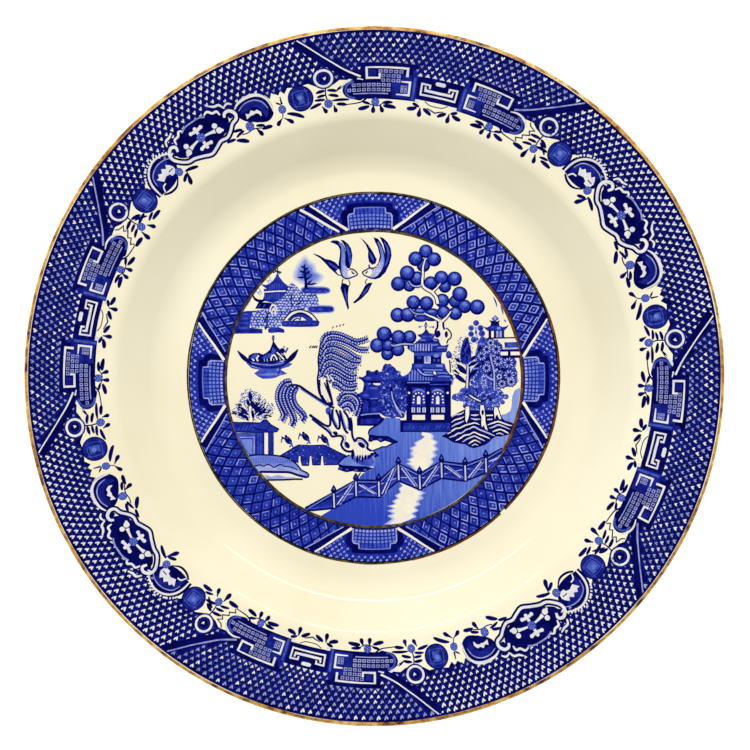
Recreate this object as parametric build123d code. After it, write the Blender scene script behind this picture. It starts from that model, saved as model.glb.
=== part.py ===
"""A 10 inch china dinner plate: one fired clay body and the coats laid on it.

The body is a turned shape: a flat well, a cavetto that rises to the verge, a gently sloping rim flange,
and a foot ring under the well. On it lie, from the clay outwards, the underglaze ink prints, the clear
glaze and the gilding, which is fired flush into the glaze. The foot ring's standing edge is left unglazed,
so the glaze is two separate skins: one runs over the face, round the edge and down to the foot, and the
other covers the recessed base inside the foot. Each coat is its own closed solid, face to face with its
neighbours.

Frame: +Z up along the plate's turning axis, origin at the centre of the foot ring's standing plane.
Units are millimetres.
"""

from build123d import *
from math import atan2, cos, degrees, radians, sin
import os

# Driving dimensions of the glazed plate
RIM_RADIUS = 127.0
RIM_HEIGHT = 23.2
RIM_THICKNESS = 3.0
WELL_FLOOR = 6.4
WELL_CORNER_RADIUS = 78.0
VERGE_RADIUS = 94.5
VERGE_HEIGHT = 18.0
BASE_RECESS = 2.4

# Foot ring and the wall above it
FOOT_OUTER = 79.6
FOOT_INNER = 76.8
FOOT_HEIGHT = 3.4
FOOT_SPLAY = 1.8
FOOT_DRAFT = 1.2
UNDER_VERGE_RADIUS = 96.6
UNDER_VERGE_HEIGHT = 15.2

# Bends that round the outline's corners
WELL_BEND = 18.0
VERGE_BEND = 9.0
EDGE_BEND = 1.4
UNDER_VERGE_BEND = 10.0
UNDER_FOOT_BEND = 3.0
STANDING_BEND = 0.7
RECESS_BEND = 1.2

# The gilded upper edge is rounded by this many corners, with narrow flats between them that touch its bend
EDGE_CORNERS = 5

# Thickness of each coat, square to the surface, and the height where the glaze stops above the foot
GLAZE = 0.20
INK = 0.05
GILT = 0.08
GLAZE_STOP = 0.4


def edge_corners():
    """The corners that round the rim's upper edge, from the flange's slope to the upright side."""
    slope = atan2(RIM_HEIGHT - VERGE_HEIGHT, RIM_RADIUS - VERGE_RADIUS)
    centre_r = RIM_RADIUS - EDGE_BEND
    rise = (centre_r - VERGE_RADIUS) * sin(slope) / cos(slope)
    centre_z = VERGE_HEIGHT + rise - EDGE_BEND / cos(slope)
    step = (90.0 + degrees(slope)) / EDGE_CORNERS
    reach = EDGE_BEND / cos(radians(step / 2))
    facing = [radians(step * (EDGE_CORNERS - i - 0.5)) for i in range(EDGE_CORNERS)]
    return [(centre_r + reach * cos(a), centre_z + reach * sin(a), 0.0, 0) for a in facing]


# The glazed outline: corner radius, corner height, bend, and 1 where it bulges or -1 where it is hollow
OUTLINE = [
    (0.0, WELL_FLOOR, 0.0, 0),
    (WELL_CORNER_RADIUS, WELL_FLOOR, WELL_BEND, -1),
    (VERGE_RADIUS, VERGE_HEIGHT, VERGE_BEND, 1),
    *edge_corners(),
    (RIM_RADIUS, RIM_HEIGHT - RIM_THICKNESS, EDGE_BEND, 1),
    (UNDER_VERGE_RADIUS, UNDER_VERGE_HEIGHT, UNDER_VERGE_BEND, -1),
    (FOOT_OUTER + FOOT_SPLAY, FOOT_HEIGHT, UNDER_FOOT_BEND, -1),
    (FOOT_OUTER, 0.0, STANDING_BEND, 1),
    (FOOT_INNER, 0.0, STANDING_BEND, 1),
    (FOOT_INNER - FOOT_DRAFT, BASE_RECESS, RECESS_BEND, -1),
    (0.0, BASE_RECESS, 0.0, 0),
]
FLANGE_SIDE = 2
STANDING_SIDE = OUTLINE.index((FOOT_OUTER, 0.0, STANDING_BEND, 1))

# Decoration zones, as radii
BORDER_INNER = 97.0
BORDER_OUTER = 125.0
BORDER_STRIPS = 4
BORDER_FIRST_JOIN = 79.0
BAND_OUTER = 67.2
BAND_INNER = 54.6
SCENE_RADIUS = 54.0
GILT_LINE_WIDTH = 0.7
GILT_EDGE_INNER = 125.6

# The well's print and gilt lines were laid by hand, a little off the turning axis
BAND_CENTRE = (-0.6, -0.2)
SCENE_CENTRE = (-0.4, -0.9)


def inward(start, end):
    """The unit vector square to one side of the outline, pointing into the clay."""
    along = (Vector(*end) - Vector(*start)).normalized()
    return Vector(along.Y, -along.X)


def outline_corners(depth, standing_depth):
    """The outline's corners with its sides moved inwards by depth, and the standing side by standing_depth."""
    points = [(r, z) for r, z, _, _ in OUTLINE]
    depths = [depth] * len(points)
    depths[STANDING_SIDE] = standing_depth
    depths[-1] = 0.0
    moved = []
    for i, point in enumerate(points):
        before = inward(points[i - 1], point)
        after = inward(point, points[(i + 1) % len(points)])
        reach_before = before.dot(Vector(*point)) + depths[i - 1]
        reach_after = after.dot(Vector(*point)) + depths[i]
        spread = before.X * after.Y - before.Y * after.X
        r = (reach_before * after.Y - reach_after * before.Y) / spread
        z = (reach_after * before.X - reach_before * after.X) / spread
        moved.append((r, z))
    return moved


def half_section(depth, standing_depth):
    """Half of the cross-section: all that lies at least depth under the glazed surface, with tangent bends."""
    bends = [bend - sign * depth for _, _, bend, sign in OUTLINE]
    corners = outline_corners(depth, standing_depth)
    return make_face(FilletPolyline(*corners, radius=bends, close=True))


def turned(profile, angle=360.0, start=0.0):
    """A profile of radius and height swept about the plate's axis, from start degrees."""
    swept = revolve(Plane.XZ * profile, Axis.Z, angle)
    return Rot(0, 0, start) * swept


def block(r_low, r_high, z_low, z_high):
    """A rectangle of radius and height, for trimming profiles."""
    centre = Pos((r_low + r_high) / 2, (z_low + z_high) / 2)
    return centre * Rectangle(r_high - r_low, z_high - z_low)


def flange_strip(r_inner, r_outer, deep, shallow):
    """The profile of a coat on the flange's straight slope, between two depths under the glazed surface."""
    corners = []
    for depth in (deep, shallow):
        points = outline_corners(depth, 0.0)
        (r0, z0), (r1, z1) = points[FLANGE_SIDE], points[FLANGE_SIDE + 1]
        slope = (z1 - z0) / (r1 - r0)
        corners.append([(r, z0 + slope * (r - r0)) for r in (r_inner, r_outer)])
    return make_face(Polyline(*corners[0], *reversed(corners[1]), close=True))


def flat_ring(outer, inner, outer_centre, inner_centre, z, thickness):
    """A thin flat ring standing on height z. Its outer and inner circles need not share a centre."""
    disc = Pos(*outer_centre) * Circle(outer)
    if inner:
        disc -= Pos(*inner_centre) * Circle(inner)
    return Pos(0, 0, z) * extrude(disc, thickness)


def clay_body():
    """The fired clay, with the foot ring turned from the same piece."""
    return turned(half_section(GLAZE, 0.0))


def border_prints():
    """The border's ink, laid as strips that butt against each other round the flange."""
    profile = flange_strip(BORDER_INNER, BORDER_OUTER, GLAZE, GLAZE - INK)
    angle = 360.0 / BORDER_STRIPS
    return [turned(profile, angle, BORDER_FIRST_JOIN + i * angle) for i in range(BORDER_STRIPS)]


def well_prints():
    """The ink of the diapered band in the well, and of the scene inside it."""
    floor = WELL_FLOOR - GLAZE
    band = flat_ring(BAND_OUTER, BAND_INNER, BAND_CENTRE, SCENE_CENTRE, floor, INK)
    scene = flat_ring(SCENE_RADIUS, 0, SCENE_CENTRE, SCENE_CENTRE, floor, INK)
    return band, scene


def gilt_edge_profile():
    """The profile of the gold that wraps the rim's rounded edge, down to half its thickness."""
    film = half_section(0.0, 0.0) - half_section(GILT, 0.0)
    middle = RIM_HEIGHT - RIM_THICKNESS / 2
    return film & block(GILT_EDGE_INNER, RIM_RADIUS + GLAZE, middle, RIM_HEIGHT + GLAZE)


def gilt_line(outer, centre):
    """A thin gold circle on the well floor, flush with the glaze."""
    return flat_ring(outer, outer - GILT_LINE_WIDTH, centre, centre, WELL_FLOOR - GILT, GILT)


def glaze_skins(well_coats):
    """The two glaze skins: over the face and round to the foot, and over the base inside the foot."""
    coat = half_section(0.0, 0.0) - half_section(GLAZE, 0.0)
    coat -= block(FOOT_INNER - FOOT_SPLAY, FOOT_OUTER + FOOT_SPLAY, -GLAZE_STOP, GLAZE_STOP)
    coat -= flange_strip(BORDER_INNER, BORDER_OUTER, GLAZE, GLAZE - INK)
    coat -= gilt_edge_profile()
    base, face = sorted(coat.faces(), key=lambda piece: piece.area)
    upper = turned(face)
    for shape in well_coats:
        upper -= shape
    return upper, turned(base)


def make_nodes():
    """Every node's shape by name."""
    band, scene = well_prints()
    outer_line = gilt_line(BAND_OUTER + GILT_LINE_WIDTH, BAND_CENTRE)
    inner_line = gilt_line(BAND_INNER, SCENE_CENTRE)
    face_glaze, base_glaze = glaze_skins((band, scene, outer_line, inner_line))
    nodes = {
        "clay_body": clay_body(),
        "face_glaze": face_glaze,
        "base_glaze": base_glaze,
        "well_band_print": band,
        "centre_scene_print": scene,
        "gilt_edge_line": turned(gilt_edge_profile()),
        "gilt_outer_line": outer_line,
        "gilt_inner_line": inner_line,
    }
    for i, strip in enumerate(border_prints(), start=1):
        nodes[f"border_print_{i}"] = strip
    return nodes


os.makedirs("parts", exist_ok=True)
for name, shape in make_nodes().items():
    export_step(shape, f"parts/{name}.step")
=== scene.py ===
import math
import random
from bisect import bisect_left

import bpy
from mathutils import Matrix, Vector
from mathutils.geometry import delaunay_2d_cdt


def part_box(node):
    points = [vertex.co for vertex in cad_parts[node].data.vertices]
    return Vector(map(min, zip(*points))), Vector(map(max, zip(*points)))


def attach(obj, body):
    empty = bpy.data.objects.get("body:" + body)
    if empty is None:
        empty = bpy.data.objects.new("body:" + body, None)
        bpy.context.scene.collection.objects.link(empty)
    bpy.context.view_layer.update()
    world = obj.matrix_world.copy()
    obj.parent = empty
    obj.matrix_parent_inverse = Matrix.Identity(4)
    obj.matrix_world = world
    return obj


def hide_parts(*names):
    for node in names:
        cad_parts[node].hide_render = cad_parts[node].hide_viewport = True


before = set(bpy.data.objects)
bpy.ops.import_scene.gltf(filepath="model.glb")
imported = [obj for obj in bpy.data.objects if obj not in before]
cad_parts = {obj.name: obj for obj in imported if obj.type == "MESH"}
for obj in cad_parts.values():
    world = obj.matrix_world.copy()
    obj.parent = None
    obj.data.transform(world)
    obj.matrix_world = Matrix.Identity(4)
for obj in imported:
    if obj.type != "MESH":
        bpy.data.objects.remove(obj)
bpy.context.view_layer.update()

MM = 0.001
random.seed(11)


# ---------------------------------------------------------------- the plate's section

def half_width(node):
    """Half the width of a node, in mm."""
    low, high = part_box(node)
    return (high.x - low.x) / (2 * MM)


def middle_of(node):
    """The place of a node's centre seen from above, in mm."""
    low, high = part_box(node)
    centre = (low + high) / (2 * MM)
    return centre.x, centre.y


RIM_RADIUS = half_width("face_glaze")
LINE_OUTER = half_width("gilt_outer_line")
LINE_INNER = half_width("gilt_inner_line")
SCENE_CENTRE = middle_of("centre_scene_print")
BAND_CENTRE = middle_of("well_band_print")
WELL_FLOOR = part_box("gilt_outer_line")[1].z / MM

# The other dimensions of the glazed plate, in mm
GLAZE = 0.2
GLAZE_STOP = 0.4
RIM_HEIGHT = 23.2
RIM_THICKNESS = 3.0
WELL_CORNER_RADIUS = 78.0
VERGE_RADIUS, VERGE_HEIGHT = 94.5, 18.0
UNDER_VERGE_RADIUS, UNDER_VERGE_HEIGHT = 96.6, 15.2
FOOT_TOP_RADIUS, FOOT_HEIGHT = 81.4, 3.4
FOOT_OUTER, FOOT_INNER = 79.6, 76.8
RECESS_RADIUS, BASE_RECESS = 75.6, 2.4

# The glazed outline from the middle of the well round to the middle of the base: radius, height, bend
FACE_CORNERS = [
    (0.0, WELL_FLOOR, 0.0),
    (WELL_CORNER_RADIUS, WELL_FLOOR, 18.0),
    (VERGE_RADIUS, VERGE_HEIGHT, 9.0),
    (RIM_RADIUS, RIM_HEIGHT, 1.4),
    (RIM_RADIUS, RIM_HEIGHT - RIM_THICKNESS, 1.4),
    (UNDER_VERGE_RADIUS, UNDER_VERGE_HEIGHT, 10.0),
    (FOOT_TOP_RADIUS, FOOT_HEIGHT, 3.0),
    (FOOT_OUTER, 0.0, 0.7),
    (FOOT_INNER, 0.0, 0.7),
    (RECESS_RADIUS, BASE_RECESS, 1.2),
    (0.0, BASE_RECESS, 0.0),
]


def rounded(corners, step=3.0):
    """The outline with its corners rounded: radius, height and the outward normal at each point."""
    points = [Vector(c[:2]) for c in corners]
    out = []
    for i, (point, (_, _, bend)) in enumerate(zip(points, corners)):
        before = (point - points[i - 1]).normalized() if i else None
        after = (points[i + 1] - point).normalized() if i + 1 < len(points) else None
        if before is None or after is None:
            along = after or before
            out.append((point.x, point.y, -along.y, along.x))
            continue
        turn = math.atan2(before.x * after.y - before.y * after.x, before.dot(after))
        side = 1 if turn > 0 else -1
        start = point - before * bend * math.tan(abs(turn) / 2)
        first = Vector((-before.y, before.x))
        centre = start + first * bend * side
        count = max(2, math.ceil(math.degrees(abs(turn)) / step))
        for k in range(count + 1):
            a = turn * k / count
            nx = first.x * math.cos(a) - first.y * math.sin(a)
            ny = first.x * math.sin(a) + first.y * math.cos(a)
            spot = centre - Vector((nx, ny)) * bend * side
            out.append((spot.x, spot.y, nx, ny))
    return out


OUTLINE = rounded(FACE_CORNERS)
TOP_POINTS = [p for p in rounded(FACE_CORNERS[:4] + [(RIM_RADIUS, 0.0, 0.0)], 1.0) if p[3] > 0.02]
TOP_RADII = [p[0] for p in TOP_POINTS]


def face_at(r):
    """The face's height at a radius, and the upward and outward parts of its normal."""
    if r <= TOP_RADII[1]:
        return WELL_FLOOR, 1.0, 0.0
    i = min(bisect_left(TOP_RADII, r), len(TOP_RADII) - 1)
    a, b = TOP_POINTS[i - 1], TOP_POINTS[i]
    t = min(max((r - a[0]) / (b[0] - a[0]), 0.0), 1.0)
    z, nr, nz = (a[k] + t * (b[k] - a[k]) for k in (1, 2, 3))
    return z, nz, nr


def make_object(name, verts, faces, normals, material):
    """A smooth mesh object from millimetre coordinates, with the given normals."""
    mesh = bpy.data.meshes.new(name)
    mesh.from_pydata([(x * MM, y * MM, z * MM) for x, y, z in verts], [], faces)
    mesh.materials.append(material)
    mesh.polygons.foreach_set("use_smooth", [True] * len(mesh.polygons))
    mesh.normals_split_custom_set_from_vertices(normals)
    mesh.update()
    obj = bpy.data.objects.new(name, mesh)
    bpy.context.scene.collection.objects.link(obj)
    return obj


def keep(piece, slot, *nodes):
    """Fixes a piece to the plate and hides the CAD nodes it stands for. The slot is not used."""
    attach(piece, "root")
    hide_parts(*nodes)


def turned(name, loop, segments, material, wander=None):
    """A closed section of radius, height and normal turned about the axis, with poles where it meets it."""
    verts, normals, rings = [], [], []
    for r, z, nr, nz in loop:
        if r < 1e-6:
            rings.append([len(verts)] * segments)
            verts.append((0, 0, z))
            normals.append((0, 0, 1 if nz > 0 else -1))
            continue
        ring = []
        for k in range(segments):
            a = 2 * math.pi * k / segments
            reach, height = wander(a, r, z) if wander else (r, z)
            ring.append(len(verts))
            verts.append((reach * math.cos(a), reach * math.sin(a), height))
            normals.append((nr * math.cos(a), nr * math.sin(a), nz))
        rings.append(ring)
    faces = []
    for one, two in zip(rings, rings[1:] + rings[:1]):
        if one[0] == one[1] and two[0] == two[1]:
            continue
        for k in range(segments):
            following = (k + 1) % segments
            face = [one[k], two[k], two[following], one[following]]
            faces.append(list(dict.fromkeys(face)))
    return make_object(name, verts, faces, normals, material)


# ---------------------------------------------------------------- thin printed coats

# How far coats rise for each level and, in turns of so many, for each coat laid, and how deep they reach
LEVEL = 0.005
STAGGER = 0.0005
STAGGER_TURN = 9
EMBED = 0.03

# The longest side of a face, and where the bend into the rim needs a thicker coat
GRID = 3.0
BEND_LIFT = 0.045
BEND_INNER, BEND_OUTER = 90.0, 97.8


def dense(points):
    """A closed outline with its long sides split."""
    out = []
    for a, b in zip(points, points[1:] + points[:1]):
        count = max(1, math.ceil(math.dist(a, b) / GRID))
        out += [(a[0] + (b[0] - a[0]) * k / count, a[1] + (b[1] - a[1]) * k / count) for k in range(count)]
    return out


def curve(points, closed=False, steps=4):
    """A smooth curve through points."""
    count = len(points)
    if count < 3:
        return list(points)
    last = count if closed else count - 1
    out = []
    for i in range(last):
        p1, p2 = points[i], points[(i + 1) % count]
        p0 = points[i - 1] if closed or i else p1
        p3 = points[(i + 2) % count] if closed or i + 2 < count else p2
        for k in range(steps):
            t = k / steps
            out.append(tuple(
                0.5 * (2 * b + (c - a) * t + (2 * a - 5 * b + 4 * c - d) * t * t
                       + (3 * b - a - 3 * c + d) * t ** 3)
                for a, b, c, d in zip(p0, p1, p2, p3)))
    if not closed:
        out.append(tuple(points[-1]))
    return out


def box(x0, y0, x1, y1):
    """The corners of an upright rectangle."""
    return [(x0, y0), (x1, y0), (x1, y1), (x0, y1)]


def steps(start, stop, pitch):
    """Evenly pitched numbers from start up to stop."""
    return [start + k * pitch for k in range(int((stop - start) / pitch + 1e-6) + 1)]


def polar(x, y, reach, degrees):
    """The place at a distance from another, in a direction."""
    a = math.radians(degrees)
    return x + reach * math.cos(a), y + reach * math.sin(a)


def bend_lift(r):
    """Extra thickness over the bend between cavetto and rim, so that no flat facet dips into it."""
    return BEND_LIFT * min(max(BEND_OUTER - r, 0.0), 1.0) if r > BEND_INNER else 0.0


class Print:
    """Flat shapes in a print's own drawing coordinates, laid on the plate tone by tone as thin coats."""

    def __init__(self, name, slot, nodes, place):
        self.name, self.slot, self.nodes, self.place = name, slot, nodes, place
        self.coats = {}
        self.laid = 0

    def lay(self, tone, level, points, faces):
        """Adds one closed coat over a set of faces, with its underside just inside the glaze."""
        verts, out, normals = self.coats.setdefault(tone, ([], [], []))
        spots = [self.place(*p) for p in points]
        area = 0.0
        for face in faces:
            for a, b in zip(face, face[1:] + face[:1]):
                area += spots[a][0] * spots[b][1] - spots[b][0] * spots[a][1]
        if area < 0:
            faces = [face[::-1] for face in faces]
        base, count = len(verts), len(points)
        self.laid += 1
        top = LEVEL * (level + 1) + STAGGER * (self.laid % STAGGER_TURN)
        for height in (top, -EMBED):
            for x, y in spots:
                r = math.hypot(x, y)
                z, nz, nr = face_at(r)
                nx, ny = (nr * x / r, nr * y / r) if r > 1 else (0.0, 0.0)
                off = height + bend_lift(r) if height > 0 else height
                verts.append((x + nx * off, y + ny * off, z + nz * off))
                normals.append((nx, ny, nz))
        edges = []
        for face in faces:
            out.append([base + i for i in face])
            out.append([base + count + i for i in face[::-1]])
            edges += zip(face, face[1:] + face[:1])
        known = set(edges)
        for a, b in dict.fromkeys(edges):
            if (b, a) not in known:
                out.append([base + b, base + a, base + count + a, base + count + b])

    def fill(self, tone, level, points, smooth=False):
        """A filled outline."""
        points = dense(curve(points, True) if smooth else points)
        xs, ys = [p[0] for p in points], [p[1] for p in points]
        inner = [
            (x, y)
            for x in steps(min(xs) + GRID / 2, max(xs), GRID)
            for y in steps(min(ys) + GRID / 2, max(ys), GRID)
        ]
        count = len(points)
        spots, _, faces, *_ = delaunay_2d_cdt(
            [Vector(p) for p in points + inner], [], [list(range(count))], 1, 1e-4)
        used = sorted({i for face in faces for i in face})
        index = {old: new for new, old in enumerate(used)}
        self.lay(tone, level, [tuple(spots[i]) for i in used], [[index[i] for i in face] for face in faces])

    def strip(self, tone, level, lefts, rights, closed=False):
        """A ribbon between two matching rows of points."""
        count = len(lefts)
        last = count if closed else count - 1
        faces = [[i, count + i, count + (i + 1) % count, (i + 1) % count] for i in range(last)]
        self.lay(tone, level, list(lefts) + list(rights), faces)

    def line(self, tone, level, points, width, smooth=True, closed=False):
        """A drawn line. Its width is one number, or one for each point."""
        points = [tuple(p) for p in points]
        if isinstance(width, (int, float)):
            width = [width] * len(points)
        rows = [(x, y, w) for (x, y), w in zip(points, width)]
        rows = curve(rows, closed) if smooth else list(rows)
        if not smooth or len(rows) < 4:
            longer = []
            for a, b in zip(rows, rows[1:] + rows[:1] if closed else rows[1:]):
                parts = max(1, math.ceil(math.dist(a[:2], b[:2]) / GRID))
                longer += [tuple(p + (q - p) * k / parts for p, q in zip(a, b)) for k in range(parts)]
            rows = longer if closed else longer + [rows[-1]]
        count = len(rows)
        lefts, rights = [], []
        for i, (x, y, w) in enumerate(rows):
            a = rows[i - 1] if i or closed else rows[i]
            b = rows[(i + 1) % count] if i + 1 < count or closed else rows[i]
            one = Vector((x - a[0], y - a[1]))
            two = Vector((b[0] - x, b[1] - y))
            one = one.normalized() if one.length > 1e-9 else two.normalized()
            two = two.normalized() if two.length > 1e-9 else one
            mean = one + two
            mean = mean.normalized() if mean.length > 1e-6 else one
            reach = min(w / 2 / max(mean.dot(one), 0.5), w)
            lefts.append((x - mean.y * reach, y + mean.x * reach))
            rights.append((x + mean.y * reach, y - mean.x * reach))
        self.strip(tone, level, lefts, rights, closed)

    def straight(self, tone, level, points, width, closed=False):
        """A line that runs straight from point to point."""
        self.line(tone, level, points, width, smooth=False, closed=closed)

    def tapered(self, tone, level, a, b, widths, bend=0.0):
        """A stroke from a to b with a width at each even step. Its middle is pushed sideways by bend."""
        across = Vector((a[1] - b[1], b[0] - a[0])).normalized()
        last = len(widths) - 1
        rows = []
        for k in range(last + 1):
            t = k / last
            push = 4 * bend * t * (1 - t)
            rows.append((a[0] + (b[0] - a[0]) * t + across.x * push,
                         a[1] + (b[1] - a[1]) * t + across.y * push))
        self.straight(tone, level, rows, widths)

    def leaf(self, tone, level, a, b, width, bend=0.0, tip=0.12):
        """A pointed leaf from a to b."""
        widths = [max(width * math.sin(math.pi * (k / 8)) ** 0.75, width * tip) for k in range(9)]
        self.tapered(tone, level, a, b, widths, bend)

    def dot(self, tone, level, x, y, r, ry=None, turn=0.0, sides=None):
        """A filled disc, or an ellipse turned by an angle in degrees."""
        ry = r if ry is None else ry
        sides = sides or (8 if max(r, ry) < 0.8 else 16 if max(r, ry) < 2 else 28)
        cos_turn, sin_turn = math.cos(math.radians(turn)), math.sin(math.radians(turn))
        points = []
        for k in range(sides):
            a = 2 * math.pi * k / sides
            px, py = r * math.cos(a), ry * math.sin(a)
            points.append((x + px * cos_turn - py * sin_turn, y + px * sin_turn + py * cos_turn))
        if max(r, ry) > GRID:
            self.fill(tone, level, points)
        else:
            faces = [[0, k, k + 1] for k in range(1, sides - 1)]
            self.lay(tone, level, points, faces)

    def ring(self, tone, level, x, y, r, width, start=0.0, sweep=360.0):
        """A circle drawn as a line, or an arc of it from start degrees."""
        closed = sweep >= 360.0
        count = max(8, int(r * sweep / 40)) if r < 3 else max(12, int(r * sweep / 60))
        count = min(count, 40)
        points = [polar(x, y, r, start + sweep * k / count) for k in range(count + (0 if closed else 1))]
        self.straight(tone, level, points, width, closed)

    def mirrored(self, middle):
        """The same print with its drawing coordinates mirrored about an upright line."""
        twin = Print(self.name, self.slot, self.nodes, lambda x, y: self.place(2 * middle - x, y))
        twin.coats = self.coats
        return twin

    def finish(self):
        """Makes one piece for each tone."""
        for tone, (verts, faces, normals) in self.coats.items():
            piece = make_object(f"{self.name}_{tone}", verts, faces, normals, inks[self.slot][tone])
            keep(piece, self.slot, *self.nodes)


# ---------------------------------------------------------------- materials

def tone_of(r, g, b):
    """A screen colour out of 255 as a linear one."""
    channels = [
        (value / 255) / 12.92 if value <= 10 else ((value / 255 + 0.055) / 1.055) ** 2.4
        for value in (r, g, b)
    ]
    return (*channels, 1.0)


def shader(name):
    """A new material with its nodes, and its main shader."""
    mat = bpy.data.materials.new(name)
    mat.use_nodes = True
    nodes = mat.node_tree.nodes
    main = next(n for n in nodes if n.type == "BSDF_PRINCIPLED")
    return mat, nodes, mat.node_tree.links, main


def noise_at(nodes, links, scale, detail=3.0, rough=0.55):
    """A noise in the object's own coordinates, so it's fixed to the plate."""
    where = nodes.new("ShaderNodeTexCoord")
    noise = nodes.new("ShaderNodeTexNoise")
    noise.inputs["Scale"].default_value = scale
    noise.inputs["Detail"].default_value = detail
    noise.inputs["Roughness"].default_value = rough
    links.new(where.outputs["Object"], noise.inputs["Vector"])
    return noise


def ramp(nodes, links, source, stops):
    """A colour ramp over a value: pairs of place and colour."""
    node = nodes.new("ShaderNodeValToRGB")
    elements = node.color_ramp.elements
    while len(elements) < len(stops):
        elements.new(0.5)
    for element, (place, colour) in zip(elements, stops):
        element.position = place
        element.color = colour
    links.new(source, node.inputs["Fac"])
    return node


# The fired glaze: its gloss, and its very slight orange peel as so many ripples to a metre, how strong and
# how deep in mm
GLAZE_ROUGHNESS = 0.09
GLAZE_IOR = 1.5
RIPPLE_SCALE, RIPPLE_STRENGTH, RIPPLE_DEPTH = 260.0, 0.12, 0.012


def glassy(nodes, links, main):
    """The gloss of the fired glaze."""
    main.inputs["Roughness"].default_value = GLAZE_ROUGHNESS
    main.inputs["IOR"].default_value = GLAZE_IOR
    noise = noise_at(nodes, links, RIPPLE_SCALE, 2.0)
    bump = nodes.new("ShaderNodeBump")
    bump.inputs["Strength"].default_value = RIPPLE_STRENGTH
    bump.inputs["Distance"].default_value = RIPPLE_DEPTH * MM
    links.new(noise.outputs["Fac"], bump.inputs["Height"])
    links.new(bump.outputs["Normal"], main.inputs["Normal"])


def ink_material(name, low, high, scale):
    """Ink under glaze: one tone that pools and thins a little."""
    mat, nodes, links, main = shader(name)
    noise = noise_at(nodes, links, scale, 4.0, 0.6)
    colours = ramp(nodes, links, noise.outputs["Fac"], [(0.35, tone_of(*low)), (0.65, tone_of(*high))])
    links.new(colours.outputs["Color"], main.inputs["Base Color"])
    glassy(nodes, links, main)
    return mat


inks = {
    "border_ink": {
        "navy": ink_material("border_navy", (2, 3, 60), (8, 12, 95), 190.0),
        "deep": ink_material("border_deep", (14, 20, 104), (26, 38, 138), 420.0),
        "mid": ink_material("border_mid", (40, 58, 150), (74, 92, 180), 520.0),
        "wash": ink_material("border_wash", (84, 104, 186), (110, 128, 200), 420.0),
        "soft": ink_material("border_soft", (112, 117, 176), (160, 164, 208), 380.0),
        "pale": ink_material("border_pale", (206, 204, 214), (228, 224, 218), 240.0),
    },
    "well_ink": {
        "navy": ink_material("well_navy", (2, 3, 74), (8, 13, 98), 220.0),
        "deep": ink_material("well_deep", (14, 28, 126), (38, 52, 162), 420.0),
        "mid": ink_material("well_mid", (38, 56, 160), (70, 88, 188), 420.0),
        "wash": ink_material("well_wash", (92, 112, 196), (120, 138, 208), 160.0),
        "soft": ink_material("well_soft", (128, 138, 204), (170, 176, 222), 380.0),
        "pale": ink_material("well_pale", (226, 219, 204), (240, 232, 208), 240.0),
        "fog": ink_material("well_fog", (176, 182, 216), (204, 204, 218), 240.0),
        "haze": ink_material("well_haze", (208, 208, 212), (226, 221, 208), 240.0),
    },
}


# The lake's strokes to a metre across and along, their share in its tone, and how the tone lightens to the
# upper right
STROKE_SCALE = (1500.0, 90.0, 1.0)
STROKE_SHARE = 0.85
DEPTH_SLOPE, DEPTH_BASE = 9.0, 0.03


def water_material():
    """The lake's tint: fine upright strokes, deeper towards the lower left."""
    mat, nodes, links, main = shader("well_water")
    where = nodes.new("ShaderNodeTexCoord")
    stretch = nodes.new("ShaderNodeMapping")
    stretch.inputs["Scale"].default_value = STROKE_SCALE
    noise = nodes.new("ShaderNodeTexNoise")
    noise.inputs["Scale"].default_value = 1.0
    noise.inputs["Detail"].default_value = 2.0
    split = nodes.new("ShaderNodeSeparateXYZ")
    total = nodes.new("ShaderNodeMath")
    total.operation = "ADD"
    depth = nodes.new("ShaderNodeMath")
    depth.operation = "MULTIPLY_ADD"
    depth.inputs[1].default_value = DEPTH_SLOPE
    depth.inputs[2].default_value = DEPTH_BASE
    blend = nodes.new("ShaderNodeMath")
    blend.operation = "MULTIPLY_ADD"
    blend.inputs[1].default_value = STROKE_SHARE
    links.new(where.outputs["Object"], stretch.inputs["Vector"])
    links.new(stretch.outputs["Vector"], noise.inputs["Vector"])
    links.new(where.outputs["Object"], split.inputs["Vector"])
    links.new(split.outputs["X"], total.inputs[0])
    links.new(split.outputs["Y"], total.inputs[1])
    links.new(total.outputs["Value"], depth.inputs[0])
    links.new(noise.outputs["Fac"], blend.inputs[0])
    links.new(depth.outputs["Value"], blend.inputs[2])
    colours = ramp(nodes, links, blend.outputs["Value"],
                   [(0.0, tone_of(44, 66, 176)), (0.45, tone_of(92, 116, 201)),
                    (0.85, tone_of(132, 152, 216))])
    links.new(colours.outputs["Color"], main.inputs["Base Color"])
    glassy(nodes, links, main)
    return mat


inks["well_ink"]["water"] = water_material()


def glaze_material():
    """Clear glaze over cream clay, a little deeper here and there."""
    mat, nodes, links, main = shader("clear_glaze")
    noise = noise_at(nodes, links, 14.0, 3.0)
    colours = ramp(nodes, links, noise.outputs["Fac"],
                   [(0.3, tone_of(233, 224, 192)), (0.7, tone_of(242, 235, 208))])
    links.new(colours.outputs["Color"], main.inputs["Base Color"])
    glassy(nodes, links, main)
    return mat


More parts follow.
